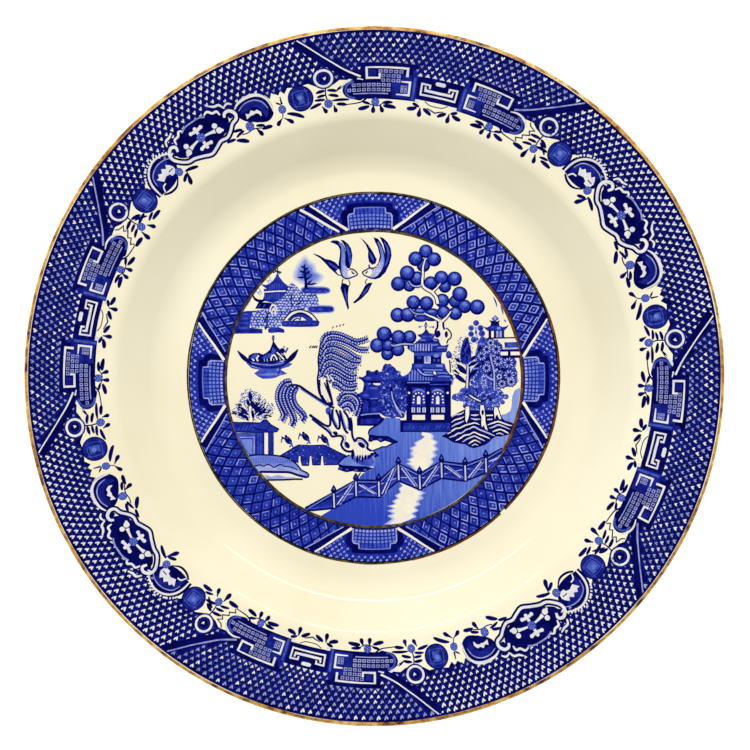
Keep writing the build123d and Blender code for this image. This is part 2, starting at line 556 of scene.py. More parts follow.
def clay_material():
    """The bare fired clay of the standing edge: matt, buff and faintly speckled."""
    mat, nodes, links, main = shader("fired_clay")
    noise = noise_at(nodes, links, 900.0, 5.0, 0.7)
    colours = ramp(nodes, links, noise.outputs["Fac"],
                   [(0.3, tone_of(196, 180, 148)), (0.55, tone_of(222, 208, 178)),
                    (0.8, tone_of(232, 221, 196))])
    links.new(colours.outputs["Color"], main.inputs["Base Color"])
    main.inputs["Roughness"].default_value = 0.85
    bump = nodes.new("ShaderNodeBump")
    bump.inputs["Strength"].default_value = 0.5
    bump.inputs["Distance"].default_value = 0.06 * MM
    links.new(noise.outputs["Fac"], bump.inputs["Height"])
    links.new(bump.outputs["Normal"], main.inputs["Normal"])
    return mat


def gilding_material(name, stops, scale, rough, metal):
    """Fired gold, worn thin in places. In the rim's gold the palest stop is painted glints as well as pale
    worn gold.
    """
    mat, nodes, links, main = shader(name)
    noise = noise_at(nodes, links, scale, 5.0, 0.65)
    colours = ramp(nodes, links, noise.outputs["Fac"], [(place, tone_of(*c)) for place, c in stops])
    links.new(colours.outputs["Color"], main.inputs["Base Color"])
    main.inputs["Roughness"].default_value = rough
    main.inputs["Metallic"].default_value = metal
    return mat


# The rim gold's palest stop, (234, 208, 152), is painted glints as well as pale worn gold; its brown stops
# are wear
GOLD = gilding_material("gilding", [(0.34, (70, 44, 18)), (0.41, (146, 94, 36)), (0.5, (200, 142, 54)),
                                    (0.58, (218, 172, 88)), (0.7, (234, 208, 152))], 250.0, 0.34, 0.12)
AGED_DARK = gilding_material("aged_gilding_dark", [(0.32, (34, 26, 22)), (0.5, (72, 58, 34)),
                                                   (0.68, (128, 108, 66))], 420.0, 0.36, 0.1)
AGED_RUST = gilding_material("aged_gilding_rust", [(0.32, (58, 30, 10)), (0.5, (104, 58, 18)),
                                                   (0.7, (150, 92, 36))], 420.0, 0.36, 0.1)
CLEAR_GLAZE = glaze_material()
FIRED_CLAY = clay_material()


# ---------------------------------------------------------------- the body, the glaze and the gilding

def inset(point, depth):
    """A point of the outline moved into the clay."""
    r, z, nr, nz = point
    return max(r - nr * depth, 0.0), z - nz * depth, nr, nz


# The outline's lowest point parts the two glaze skins
LOWEST = min(range(len(OUTLINE)), key=lambda i: (round(OUTLINE[i][1], 6), -OUTLINE[i][0]))
FACE_SKIN = [p for p in OUTLINE[:LOWEST] if p[1] > GLAZE_STOP]
BASE_SKIN = [p for p in OUTLINE[LOWEST:] if p[1] > GLAZE_STOP]


def coat(points):
    """A closed shell as thick as the glaze: the outline, and back inside it by every other point."""
    back = points[::-1]
    kept = [p for i, p in enumerate(back) if i % 2 == 0 or i == len(back) - 1]
    return list(points) + [inset(p, GLAZE) for p in kept]


def body_section():
    """The clay's outline: under the glaze everywhere but on the bare standing edge."""
    out = []
    for p in OUTLINE:
        bare = max(0.0, -p[3]) if p[1] < GLAZE_STOP + 0.3 else 0.0
        out.append(inset(p, GLAZE * (1.0 - bare)))
    return out


keep(turned("fired_clay_body", body_section(), 288, FIRED_CLAY), "fired_clay", "clay_body")
keep(turned("face_glaze_skin", coat(FACE_SKIN), 512, CLEAR_GLAZE), "clear_glaze", "face_glaze")
keep(turned("base_glaze_skin", coat(BASE_SKIN), 288, CLEAR_GLAZE), "clear_glaze", "base_glaze")


def hand_drawn(seed, size, waves):
    """A slow wander round the plate, like a hand-held brush's."""
    pick = random.Random(seed)
    parts = [
        (k, pick.uniform(0, 2 * math.pi), pick.uniform(0.3, 1.0) / math.sqrt(k))
        for k in range(2, 2 + waves)
    ]
    scale = size / sum(height for _, _, height in parts) * 2
    return lambda a: scale * sum(height * math.sin(k * a + phase) for k, phase, height in parts)


# Where the rim's gold starts, how far out its inner border wanders, and how deep it goes down the side
GOLD_START = 125.75
GOLD_STEADY = 126.2
GOLD_SIDE = (1.5, 1.8)
GOLD_RISE, GOLD_DEPTH = 0.02, 0.06


def gilt_edge():
    """The gold on the rim's edge: a thin skin from its wandering inner border over to the upright side."""
    brush = hand_drawn(3, 0.34, 26)
    first = [p for p in TOP_POINTS if p[0] > GOLD_START + 0.1]
    rim = [(RIM_RADIUS, RIM_HEIGHT - z, 1.0, 0.0) for z in GOLD_SIDE]
    start_z, start_nz, start_nr = face_at(GOLD_START)
    skin = [(GOLD_START, start_z, start_nr, start_nz)] + first + rim
    outer = [inset(p, -GOLD_RISE) for p in skin]
    inner = [inset(p, GOLD_DEPTH) for p in skin[::-1]]

    def wander(a, r, z):
        if r > GOLD_STEADY:
            return r, z
        reach = min(max((GOLD_STEADY - r) / (GOLD_STEADY - GOLD_START), 0.0), 1.0)
        moved = r + reach * brush(a)
        return moved, z + (face_at(moved)[0] - face_at(r)[0])

    return turned("gilt_edge", outer + inner, 512, GOLD, wander)


LINE_RISE, LINE_DEPTH = 0.014, 0.03


def gilt_circle(name, radius, width, centre, seed, material, start, sweep, node):
    """Part of a hand-laid gold circle in the well, as a thin closed strip."""
    brush = hand_drawn(seed, 0.1, 14)
    edge = hand_drawn(seed + 1, 0.14, 40)
    count = int(sweep * 2)
    verts, faces = [], []
    for k in range(count + 1):
        a = math.radians(start + sweep * k / count)
        middle = radius + brush(a)
        half = width / 2 + edge(a)
        for side, z in ((-1, LINE_RISE), (1, LINE_RISE), (1, -LINE_DEPTH), (-1, -LINE_DEPTH)):
            r = middle + side * half
            verts.append((centre[0] + r * math.cos(a), centre[1] + r * math.sin(a), WELL_FLOOR + z))
    for k in range(count):
        one, two = 4 * k, 4 * (k + 1)
        for i in range(4):
            j = (i + 1) % 4
            faces.append([one + i, one + j, two + j, two + i])
    faces += [[3, 2, 1, 0], [4 * count, 4 * count + 1, 4 * count + 2, 4 * count + 3]]
    keep(make_object(name, verts, faces, [(0.0, 0.0, 1.0)] * len(verts), material), "aged_gilding", node)


keep(gilt_edge(), "gilding", "gilt_edge_line")

# The well's gold circles: their centres, and the radius and width of each dark or rust-coloured stretch
OUTER_CENTRE = (BAND_CENTRE[0] + 0.25, BAND_CENTRE[1] - 0.45)
INNER_CENTRE = (SCENE_CENTRE[0] + 0.2, SCENE_CENTRE[1] - 0.15)
OUTER_LINE = (LINE_OUTER, 0.62)
OUTER_RUST_LINE = (LINE_OUTER + 0.05, 0.82)
INNER_LINE = (LINE_INNER - 0.5, 0.85)
INNER_RUST_LINE = (LINE_INNER - 0.45, 1.0)
gilt_circle("gilt_outer_dark", *OUTER_LINE, OUTER_CENTRE, 21, AGED_DARK, 20.0, 262.0, "gilt_outer_line")
gilt_circle("gilt_outer_rust_low", *OUTER_RUST_LINE, OUTER_CENTRE, 21, AGED_RUST, -78.0, 31.2,
            "gilt_outer_line")
gilt_circle("gilt_outer_rust_high", *OUTER_RUST_LINE, OUTER_CENTRE, 21, AGED_RUST, -45.0, 65.0,
            "gilt_outer_line")
gilt_circle("gilt_inner_dark", *INNER_LINE, INNER_CENTRE, 31, AGED_DARK, 40.0, 290.0, "gilt_inner_line")
gilt_circle("gilt_inner_rust", *INNER_RUST_LINE, INNER_CENTRE, 31, AGED_RUST, -30.0, 70.0, "gilt_inner_line")


# ---------------------------------------------------------------- the rim border

# Where the print ends at the rim, and where the rim starts to roll over, as radii
BORDER_OUTER = 125.6
ROLL_START = 125.3
ARC_RADIUS = 110.0
FIRST_ANGLE = 78.7

# A repeat runs from the middle of one key block to the middle of the next, and places on its two halves that
# mirror each other add up to FOLD
KEY_MIDDLE = 3.0
FOLD = 182.0

# Where the key block, ring, disc, cartouche, disc, ring and next key block are drawn along a repeat, and
# where each falls on the plate: how far along, how far its foot is lifted and how far its top is
DRAWN = [3.0, 45.5, 54.8, 87.6, 128.2, 137.5, 179.0]
FIRST_KEY = (3.0, -0.2, -0.2)
LAST_KEY = (3.0 + math.radians(360.0) * ARC_RADIUS, -0.2, -0.2)
SECOND_KEY, THIRD_KEY, FOURTH_KEY = (179.5, 0.1, 0.1), (349.5, -0.7, -1.3), (518.7, 0.7, 0.0)
REPEATS = [
    [FIRST_KEY, (45.5, 0.0, 0.0), (54.8, 0.0, 0.0), (87.6, 0.0, 0.0), (128.2, 0.0, 0.0),
     (137.5, 0.0, 0.0), SECOND_KEY],
    [SECOND_KEY, (220.7, 0.3, 0.3), (230.0, 0.3, 0.3), (262.0, 0.0, 0.2), (299.8, 0.0, -0.1),
     (308.8, -0.5, -0.8), THIRD_KEY],
    [THIRD_KEY, (390.3, -1.1, -1.4), (398.8, -0.8, -1.1), (430.5, -0.3, -1.1), (468.5, 0.7, 0.6),
     (478.0, 0.5, 0.3), FOURTH_KEY],
    [FOURTH_KEY, (559.3, -0.3, 0.0), (568.6, -0.2, -0.2), (600.3, 0.3, 0.0), (640.7, 0.0, 0.0),
     (650.8, 0.0, -0.5), LAST_KEY],
]
FOOT, TOP = 98.0, 113.0


def border_place(knots):
    """Maps border drawing coordinates, along and out, to the plate for one repeat."""
    def place(u, v):
        i = min(max(bisect_left(DRAWN, u), 1), len(DRAWN) - 1)
        t = (u - DRAWN[i - 1]) / (DRAWN[i] - DRAWN[i - 1])
        along, low, high = (start + t * (end - start) for start, end in zip(knots[i - 1], knots[i]))
        tall = min(max((v - FOOT) / (TOP - FOOT), 0.0), 1.0)
        fade = min((BORDER_OUTER - v) / (BORDER_OUTER - TOP), 1.0)
        a = math.radians(FIRST_ANGLE) - along / ARC_RADIUS
        r = v + (low + tall * (high - low)) * fade
        return r * math.cos(a), r * math.sin(a)
    return place


def tick(ink, level, x, y, size, tone="pale"):
    """One light tick of the lattice: a notched V with a longer right arm."""
    shape = [(0, -1), (0.62, -0.1), (0.78, 0.75), (0.35, 0.95), (0.12, 0.1), (-0.22, 0.62), (-0.72, 0.42),
             (-0.5, -0.15)]
    ink.fill(tone, level, [(x + size * a, y + size * b * 0.92) for a, b in shape])


def lattice(ink, start, stop, pitch, rows, allowed, size, light):
    """Rows of ticks between crossing lines, each row set half a pitch from the one before."""
    for k, v in enumerate(rows):
        for u in steps(start + (k % 2) * pitch / 2, stop, pitch):
            if not allowed(u, v):
                continue
            big = size * (0.66 + 0.34 * (v - 108) / 17) * random.uniform(0.88, 1.05)
            shown = "pale" if v > 111 and random.random() < light else "soft"
            tick(ink, 2, u + random.uniform(-0.08, 0.08), v, big, shown)
            for side in (-1, 1):
                ink.straight("deep", 1, [(u + side * 0.15, v - 1.25), (u + side * pitch / 2, v + 0.1)], 0.3)


def bar_line(side):
    """How high the slanting bars stand over each place along the border, mirrored for the far one."""
    points = [(31.5, 109.2), (36.0, 111.6), (40.0, 114.6), (45.0, 119.0), (51.5, 126.0)]
    return points if side > 0 else [(FOLD - u, v) for u, v in points]


def under_bar(u):
    """The bar's height at u, for telling the two kinds of lattice apart."""
    points = bar_line(1)
    away = min(u, FOLD - u)
    if away <= points[0][0]:
        return -1.0
    for (u0, v0), (u1, v1) in zip(points, points[1:]):
        if away <= u1:
            return v0 + (v1 - v0) * (away - u0) / (u1 - u0)
    return 999.0


GROUND_EDGE = [
    (3.0, 102.5), (31.0, 102.5), (33.0, 106.5), (37.0, 108.2), (40.0, 108.6), (42.0, 107.3), (45.5, 106.4),
    (48.5, 107.4), (51.0, 108.6), (54.8, 108.8), (58.6, 107.8), (60.3, 109.4), (61.5, 110.0), (64.0, 109.0),
    (74.0, 108.0), (87.5, 108.0), (101.0, 108.0), (104.0, 109.6), (110.0, 109.5), (115.8, 109.4),
    (117.2, 107.4), (118.5, 109.4), (120.6, 107.6), (121.8, 109.0), (122.9, 107.4), (124.6, 109.2),
    (128.2, 108.4), (132.0, 108.9), (134.4, 107.4), (137.5, 106.4), (141.0, 107.3), (143.0, 108.6),
    (146.0, 108.2), (149.5, 106.5), (151.0, 102.5), (179.0, 102.5),
]


def ground_low(u):
    """The lower edge of the border's dark ground."""
    for (u0, v0), (u1, v1) in zip(GROUND_EDGE, GROUND_EDGE[1:]):
        if u <= u1:
            return v0 + (v1 - v0) * (u - u0) / (u1 - u0)
    return GROUND_EDGE[-1][1]


def border_ground(ink):
    """The dark ground under the lattice, as a strip of columns from its lower edge to the rim."""
    us = sorted({*steps(KEY_MIDDLE, FOLD - KEY_MIDDLE, 2.0), *[u for u, _ in GROUND_EDGE]})
    flat_rows = 6
    points, faces = [], []
    for u in us:
        low = ground_low(u)
        points += [(u, low + (ROLL_START - low) * k / flat_rows) for k in range(flat_rows + 1)]
        points += [(u, (ROLL_START + BORDER_OUTER) / 2), (u, BORDER_OUTER)]
    rows = flat_rows + 3
    for i in range(len(us) - 1):
        for k in range(rows - 1):
            a = i * rows + k
            faces.append([a, a + rows, a + rows + 1, a + 1])
    ink.lay("navy", 0, points, faces)


def flower(ink, level, x, y, r):
    """A small round flower: a ring of petals about a light eye."""
    ink.dot("deep", level, x, y, r)
    for k in range(6):
        petal = polar(x, y, 0.62 * r, 90 + 60 * k)
        ink.dot("mid", level + 1, *petal, 0.42 * r, sides=9)
        ink.dot("wash", level + 2, *petal, 0.2 * r, sides=6)
    ink.dot("soft", level + 2, x, y, 0.2 * r, sides=7)


def grid_row(ink, level, u0, u1, v, pitch=1.8):
    """A row of small light squares with dark middles."""
    half = 0.37 * pitch
    for u in steps(u0 + pitch / 2, u1, pitch):
        ink.fill("soft", level, box(u - half, v - 0.6, u + half, v + 0.6))
        ink.fill("navy", level + 1, box(u - 0.45 * half, v - 0.27, u + 0.45 * half, v + 0.27))


def key_half(ink):
    """Half of a key block, from its middle at u = 3 out to the scroll tail."""
    # The middle block: a dark field with a light bracket, a light trough in it and a light tablet over it
    ink.fill("navy", 1, box(2.9, 101.8, 11.2, 110.0))
    ink.straight("pale", 2, [(2.9, 103.8), (9.6, 103.8), (9.6, 107.8), (6.6, 107.6), (6.6, 106.4)], 0.66)
    ink.straight("pale", 2, [(2.9, 105.35), (8.0, 105.5), (8.2, 107.0)], [1.0, 0.9, 0.55])
    ink.fill("pale", 2, [(2.9, 107.9), (4.4, 107.9), (4.9, 108.4), (4.8, 109.0), (4.3, 109.3), (2.9, 109.3)])
    # The shaded upright beside it, and the side block
    ink.fill("deep", 1, box(11.2, 100.9, 13.4, 112.2))
    ink.fill("mid", 2, box(11.8, 101.2, 12.7, 109.6))
    ink.fill("navy", 1, box(13.3, 100.9, 31.5, 114.1))
    ink.fill("deep", 2, [(13.4, 101.6), (20.4, 101.6), (20.4, 110.4), (13.4, 110.4)])
    ink.straight("pale", 4, [(18.6, 102.8), (13.9, 102.9), (13.9, 107.6), (17.0, 107.6)],
                 [0.4, 0.8, 0.8, 0.4])
    for v in (104.3, 105.6):
        grid_row(ink, 4, 14.6, 17.2, v, 1.3)
    ink.straight("pale", 4, [(15.1, 109.4), (15.1, 112.5), (29.4, 112.5)], [0.9, 0.8, 0.5])
    ink.straight("pale", 4, [(29.3, 112.7), (29.3, 108.6), (24.8, 108.6), (24.8, 110.3)],
                 [0.8, 0.8, 0.7, 0.8])
    ink.fill("deep", 3, box(26.0, 109.4, 28.4, 111.6))
    for v, u0, u1 in ((111.1, 16.4, 25.2), (109.45, 17.2, 23.6), (107.8, 17.2, 23.6), (106.1, 20.6, 34.2),
                      (104.3, 20.6, 36.4)):
        grid_row(ink, 4, u0, u1, v)
    ink.straight("soft", 4, [(21.5, 102.9), (34.5, 102.9)], 0.4)
    # The scroll tail
    ink.fill("navy", 1, [(31.0, 100.9), (34.5, 100.9), (37.2, 102.0), (38.4, 104.3), (37.4, 106.6),
                         (34.5, 107.9), (31.0, 107.6)], smooth=True)
    ink.ring("mid", 5, 34.3, 104.4, 3.0, 0.8, -95, 190)
    ink.line("pale", 3, [(30.6, 108.0), (33.5, 108.6), (36.6, 107.8), (38.8, 105.8)], [0.3, 0.7, 0.7, 0.3])
    ink.line("navy", 1, [(29.5, 101.4), (32.0, 99.7), (37.6, 99.2)], [0.9, 0.5, 0.4])
    # Light points along the tops of the blocks
    for u in steps(2.9, 11.0, 2.6):
        ink.fill("pale", 3, [(u - 0.85, 110.3), (u + 0.85, 110.3), (u, 111.5)])
    for u in steps(13.6, 30.5, 2.4):
        ink.fill("soft", 3, [(u - 0.7, 114.3), (u + 0.7, 114.3), (u, 115.3)])


SPRIG_LEAF = (0.4, 0.75, 0.95, 1.0, 1.0, 0.85, 0.45)
BUD = (0.22, 0.3, 0.42, 0.6, 0.8, 0.95, 1.0, 0.85, 0.3)


def sprig_leaf(ink, a, b, width, bend=0.0):
    """A full, blunt leaf of a sprig."""
    ink.tapered("navy", 0, a, b, [1.35 * width * share for share in SPRIG_LEAF], bend)


def bud(ink, a, b, width, bend=0.0):
    """A hanging bud, full at its outer end."""
    ink.tapered("navy", 0, a, b, [1.45 * width * share for share in BUD], bend)


def key_feet(ink, left):
    """The sprigs and swag that hang under a key block. The left and right sides differ a little."""
    ink.fill("pale", 2, box(9.6, 100.6, 11.1, 101.9))
    ink.line("navy", 0, [(2.9, 100.3), (5.5, 100.5), (7.5, 101.6)], 0.35)
    ink.line("navy", 0, [(2.9, 98.1), (4.4, 98.7), (6.3, 99.3)], [0.5, 0.5, 0.3])
    sprig_leaf(ink, (4.3, 97.1), (7.7, 98.9), 1.1, 0.1)
    bud(ink, (8.9, 99.2), (8.9, 95.7), 1.25)
    sprig_leaf(ink, (9.3, 99.3), (12.0, 100.3), 0.9)
    sprig_leaf(ink, (10.2, 98.9), (14.0, 98.1), 1.15, -0.2)
    flower(ink, 1, 26.3 if left else 25.7, 99.8, 1.55)
    sprig_leaf(ink, (19.6, 99.8), (23.6, 99.4), 0.9, 0.15)
    sprig_leaf(ink, (18.2, 97.9), (23.2, 98.4), 1.15, 0.15)
    bud(ink, (24.6, 98.9), (23.3, 96.0), 1.15)
    bud(ink, (27.0, 98.8), (27.2, 95.7), 1.2)
    sprig_leaf(ink, (28.3, 99.0), (31.2, 99.9), 0.8)
    sprig_leaf(ink, (28.6, 98.2), (33.0, 97.3), 1.1, -0.15)
    ink.line("navy", 0, [(23.5, 99.2), (25.5, 98.3), (28.5, 98.8)], 0.4)


def bracket_sprigs(ink, ring_u, right):
    """The sprigs that grow under a ring. The near ring's vine is fuller than the far one's."""
    if right:
        ink.straight("navy", 1, [(39.0, 108.2), (39.8, 107.0), (42.0, 106.3), (40.3, 105.2), (41.3, 104.0),
                             (38.8, 102.8), (39.4, 101.7), (37.0, 100.8), (37.9, 99.5)], 0.45)
        leaves = [((37.3, 98.6), (41.9, 98.4), 1.2), ((41.4, 104.5), (45.3, 105.1), 0.9),
                  ((45.8, 105.1), (49.2, 103.4), 1.0), ((45.8, 102.0), (50.6, 102.6), 0.9),
                  ((41.5, 102.6), (45.0, 103.2), 0.8), ((49.3, 99.6), (52.9, 100.4), 0.8),
                  ((50.6, 98.8), (55.4, 98.7), 1.1), ((46.2, 104.0), (50.4, 101.2), 0.7),
                  ((40.2, 100.6), (44.0, 101.6), 0.8)]
        drops = [((43.9, 99.8), (43.0, 95.8), 1.3), ((47.3, 99.6), (48.8, 96.4), 1.15)]
        flower(ink, 2, 45.5, 100.8, 1.6)
    else:
        leaves = [((134.0, 104.9), (137.2, 105.4), 0.9), ((138.1, 105.4), (141.6, 104.6), 0.9),
                  ((134.1, 103.3), (137.1, 103.7), 0.8), ((138.3, 103.6), (142.0, 102.6), 0.9),
                  ((133.0, 102.3), (136.8, 102.0), 0.8), ((130.8, 99.7), (135.2, 100.9), 0.9),
                  ((140.8, 99.8), (144.6, 99.2), 1.0), ((139.3, 101.3), (145.8, 101.0), 0.8),
                  ((141.5, 104.8), (144.2, 106.4), 0.7)]
        drops = [((135.3, 99.8), (136.7, 97.1), 1.1), ((139.7, 99.6), (140.3, 96.8), 1.1)]
        flower(ink, 2, 137.8, 100.4, 1.6)
    for a, b, w in leaves:
        sprig_leaf(ink, a, b, w, 0.12)
    for a, b, w in drops:
        bud(ink, a, b, w)
    ink.line("navy", 1, [(ring_u + 0.2, 106.8), (ring_u - 0.2, 104.0), (ring_u + 0.1, 101.5)], 0.5)


def ring_motif(ink, u, v):
    """A light ring on the lattice with a fine light mark in the middle."""
    ink.dot("navy", 3, u, v, 4.0)
    ink.ring("deep", 4, u, v, 3.75, 0.3)
    ink.ring("pale", 4, u, v, 3.0, 0.85)
    ink.ring("deep", 5, u, v, 1.9, 0.5)
    tick(ink, 5, u + 0.3, v - 0.1, 0.75)


def disc_motif(ink, u, v):
    """A shaded disc with a bowed square on it."""
    ink.dot("navy", 3, u, v, 4.75)
    ink.dot("deep", 4, u, v, 4.35)
    ink.fill("mid", 5, box(u - 2.0, v - 2.0, u + 2.0, v + 2.0))
    ink.dot("wash", 6, u - 0.2, v + 0.3, 0.9)
    for side in (-1, 1):
        ink.line("mid", 5, [(u + 2.2 * side, v - 3.2), (u + 2.8 * side, v), (u + 2.2 * side, v + 3.2)], 0.3)
        ink.line("mid", 5, [(u - 3.2, v + 2.2 * side), (u, v + 2.8 * side), (u + 3.2, v + 2.2 * side)], 0.3)


def slanting_bar(ink, points, side):
    """The light bar that parts the two lattices, with a dark band on its cartouche side."""
    ink.line("navy", 3, [(u + side * 1.2, v - 0.6) for u, v in points], 2.4)
    ink.line("soft" if side > 0 else "pale", 4, points, [0.75, 0.6, 0.5, 0.45, 0.45])


def leaf_a(ink):
    """The acanthus scroll to the left of the cartouche."""
    hood = [(60.4, 101.4), (60.7, 105.3), (62.0, 108.5), (64.6, 110.9), (68.0, 112.0), (71.6, 111.4),
            (74.5, 109.8)]
    ink.line("navy", 2, hood, 2.6)
    ink.fill("navy", 2, [(61.0, 102.0), (61.3, 106.3), (64.0, 110.0), (68.5, 111.0), (73.5, 109.2),
                         (74.0, 106.0), (70.5, 101.6), (65.0, 100.6)], smooth=True)
    ink.fill("deep", 3, [(62.2, 102.6), (62.4, 106.2), (64.6, 109.0), (68.4, 110.1), (71.8, 109.2),
                         (70.8, 107.4), (66.8, 107.0), (64.4, 105.0), (63.6, 102.2)], smooth=True)
    ink.line("pale", 4, hood, [0.6, 0.8, 0.8, 0.8, 0.8, 0.7, 0.5])
    for degrees in range(28, 158, 9):
        right, up = math.cos(math.radians(degrees)), math.sin(math.radians(degrees))
        ends = [(67.6 + 7.6 * right, 105.5 + 6.8 * up), (67.9 + 8.6 * right, 105.7 + 7.5 * up)]
        ink.straight("pale", 4, ends, 0.55)
    ink.line("soft", 4, [(62.2, 104.8), (63.4, 107.9), (66.8, 109.7), (70.5, 109.7), (73.4, 108.4)],
             [0.25, 0.4, 0.45, 0.4, 0.25])
    ink.fill("pale", 5, [(63.8, 106.4), (65.3, 104.0), (67.4, 104.8), (69.0, 104.3), (69.3, 103.3),
                         (71.8, 103.3), (72.1, 105.6), (71.4, 106.8), (70.3, 107.9), (69.5, 106.7),
                         (68.0, 107.9), (67.1, 106.6), (65.7, 107.4), (65.1, 106.3)])
    ink.straight("navy", 6, [(69.3, 105.2), (71.4, 105.2)], 0.4)
    ink.dot("navy", 6, 67.3, 102.9, 1.7)
    ink.line("deep", 6, [(66.2, 103.8), (67.4, 104.3), (68.6, 103.7)], 0.35)
    ink.line("pale", 4, [(62.6, 101.2), (63.6, 102.9), (65.2, 103.2)], 0.55)
    ink.line("navy", 2, [(61.4, 101.0), (64.0, 99.6), (67.5, 99.5), (70.6, 101.6)], [0.7, 0.9, 0.8, 0.4])
    flower(ink, 6, 72.3, 102.6, 1.6)
    sprig_leaf(ink, (74.2, 100.3), (70.9, 98.7), 1.0)
    bud(ink, (74.7, 100.8), (72.3, 96.2), 1.25, 0.2)
    sprig_leaf(ink, (74.3, 101.2), (79.7, 99.3), 1.0, 0.2)


def leaf_b(ink):
    """The scroll to the right of the cartouche."""
    ink.fill("navy", 2, [(103.2, 109.4), (106.5, 111.4), (111.0, 111.5), (115.4, 109.6), (117.0, 106.2),
                         (116.8, 102.4), (113.5, 100.2), (108.5, 101.8), (104.5, 104.5)], smooth=True)
    hood = [(103.6, 109.2), (106.0, 110.7), (110.0, 111.3), (113.4, 110.5), (115.6, 108.5), (116.6, 105.9),
            (117.0, 101.6)]
    ink.line("pale", 4, hood, [0.4, 0.9, 1.2, 1.1, 0.8, 0.6, 0.5])
    ink.fill("deep", 3, [(104.8, 106.6), (107.5, 109.4), (111.4, 109.6), (114.6, 107.6), (115.4, 104.4),
                         (113.4, 101.6), (112.8, 104.8), (110.6, 107.0), (107.0, 106.6)], smooth=True)
    ink.line("soft", 4, [(104.8, 108.0), (107.5, 109.4), (111.2, 109.4), (114.0, 107.6), (115.3, 104.6)],
             [0.3, 0.4, 0.45, 0.4, 0.25])
    ink.fill("pale", 5, [(106.2, 104.0), (106.6, 106.0), (107.8, 105.3), (108.9, 106.4), (110.0, 105.5),
                         (111.2, 105.7), (112.3, 104.3), (112.0, 102.9), (110.6, 103.9), (108.4, 104.6)])
    ink.dot("navy", 6, 109.9, 102.9, 1.7)
    flower(ink, 6, 106.0, 101.2, 1.7)
    for a, b, w in (((98.6, 98.9), (103.0, 96.4), 1.2), ((94.8, 99.9), (98.6, 99.4), 0.9),
                    ((99.0, 102.2), (102.7, 101.4), 0.9), ((99.2, 99.8), (103.2, 100.8), 0.8),
                    ((108.3, 100.4), (111.6, 99.2), 0.9), ((110.0, 98.4), (114.4, 98.0), 1.1)):
        sprig_leaf(ink, a, b, w, 0.12)
    bud(ink, (107.9, 99.6), (109.4, 96.2), 1.2)
    ink.line("navy", 0, [(101.8, 99.8), (104.0, 99.4), (107.0, 99.7), (110.2, 98.8)], 0.45)


CARTOUCHE = [
    (77.2, 108.2), (77.7, 110.0), (76.0, 110.9), (74.0, 109.3), (73.9, 107.0), (75.6, 104.6), (77.8, 102.9),
    (80.5, 102.4), (84.0, 101.0), (87.4, 99.7), (90.6, 100.7), (93.2, 101.8), (96.0, 101.6), (98.4, 103.0),
    (100.4, 105.0), (102.6, 106.0), (103.1, 107.9), (101.6, 109.8), (99.7, 109.7), (99.0, 108.4),
]


def cartouche(ink):
    """The dark cartouche with its light scrolled edge and the quatrefoil bones inside."""
    ink.line("navy", 3, CARTOUCHE, 2.6)
    ink.fill("navy", 3, [(76.0, 108.5), (78.0, 111.8), (81.0, 113.0), (83.6, 113.4), (87.6, 114.2),
                         (92.0, 113.4), (96.0, 113.8), (99.5, 112.0), (100.5, 109.0), (98.5, 104.4),
                         (94.0, 102.5), (87.4, 100.0), (81.0, 103.0), (76.5, 105.8)], smooth=True)
    ink.line("pale", 5, CARTOUCHE, [0.9, 1.1, 1.2, 1.2, 1.1] + [1.0] * 10 + [1.1, 1.2, 1.2, 1.1, 0.9])
    ink.dot("navy", 6, 76.0, 108.2, 0.9)
    ink.dot("navy", 6, 101.2, 107.8, 0.9)
    ink.line("soft", 5, [(82.8, 112.5), (85.0, 113.4), (88.0, 113.5), (91.0, 113.3), (93.0, 112.4)], 0.6)
    for hook in ([(78.6, 110.4), (79.2, 112.2), (81.0, 112.4), (82.2, 113.6), (83.4, 113.0)],
                 [(75.4, 112.2), (76.4, 113.9), (78.2, 114.2), (79.9, 115.0)],
                 [(93.0, 113.0), (94.6, 113.5), (96.0, 112.0), (97.6, 111.8), (98.0, 110.0)],
                 [(96.0, 115.0), (97.6, 113.8), (99.4, 113.4), (100.4, 111.6)],
                 [(100.6, 111.8), (102.2, 112.4), (103.6, 111.4)]):
        ink.line("navy", 4, hook, 1.7)
        ink.line("pale", 5, hook, [0.5] + [0.85] * (len(hook) - 2) + [0.5])
    # The bones: two long ones sideways, two stars up and down, and a flower in the middle
    for side in (-1, 1):
        bone = [(87.6 + side * 1.4, 106.7), (87.6 + side * 4.2, 106.3), (87.6 + side * 5.8, 105.9)]
        ink.line("pale", 5, bone, [0.7, 1.0, 1.6])
        for across, v, r in ((7.2, 105.4, 1.15), (6.6, 107.7, 1.0), (8.3, 104.9, 0.55)):
            ink.dot("pale", 5, 87.6 + side * across, v, r)
    for v, sign in ((109.9, 1), (103.7, -1)):
        for across, up, r in ((0, 0, 0.9), (0, 0.9, 0.7), (0, -1.2, 0.6), (-1.2, 0.1, 0.65), (1.2, 0.1, 0.65),
                              (-2.2, 0.3, 0.75), (2.2, 0.3, 0.75)):
            ink.dot("pale", 5, 87.5 + across, v + up * sign, r, sides=10)
    flower(ink, 6, 87.6, 106.9, 1.7)


def middle_sprig(ink):
    """The upright flower between the scroll and the far disc."""
    ink.line("navy", 1, [(121.0, 107.0), (120.8, 104.2)], [0.4, 0.8])
    ink.leaf("navy", 1, (118.6, 105.6), (120.6, 104.0), 0.7)
    flower(ink, 2, 120.3, 102.4, 1.55)
    ink.line("navy", 0, [(120.0, 101.0), (119.4, 99.3)], 0.4)
    bud(ink, (119.2, 99.4), (116.2, 97.4), 1.1)
    bud(ink, (119.9, 99.2), (123.2, 96.6), 1.1)
    sprig_leaf(ink, (121.6, 100.4), (127.9, 97.4), 1.1, 0.3)


def key_floor(u):
    """The tops of the key blocks, which the lattice between the bars stops at."""
    away = abs(min(u, FOLD - u) - KEY_MIDDLE)
    if away < 10.0:
        return 109.9
    if away < 28.5:
        return 114.0
    return 108.0 if away > 33 else 108.5


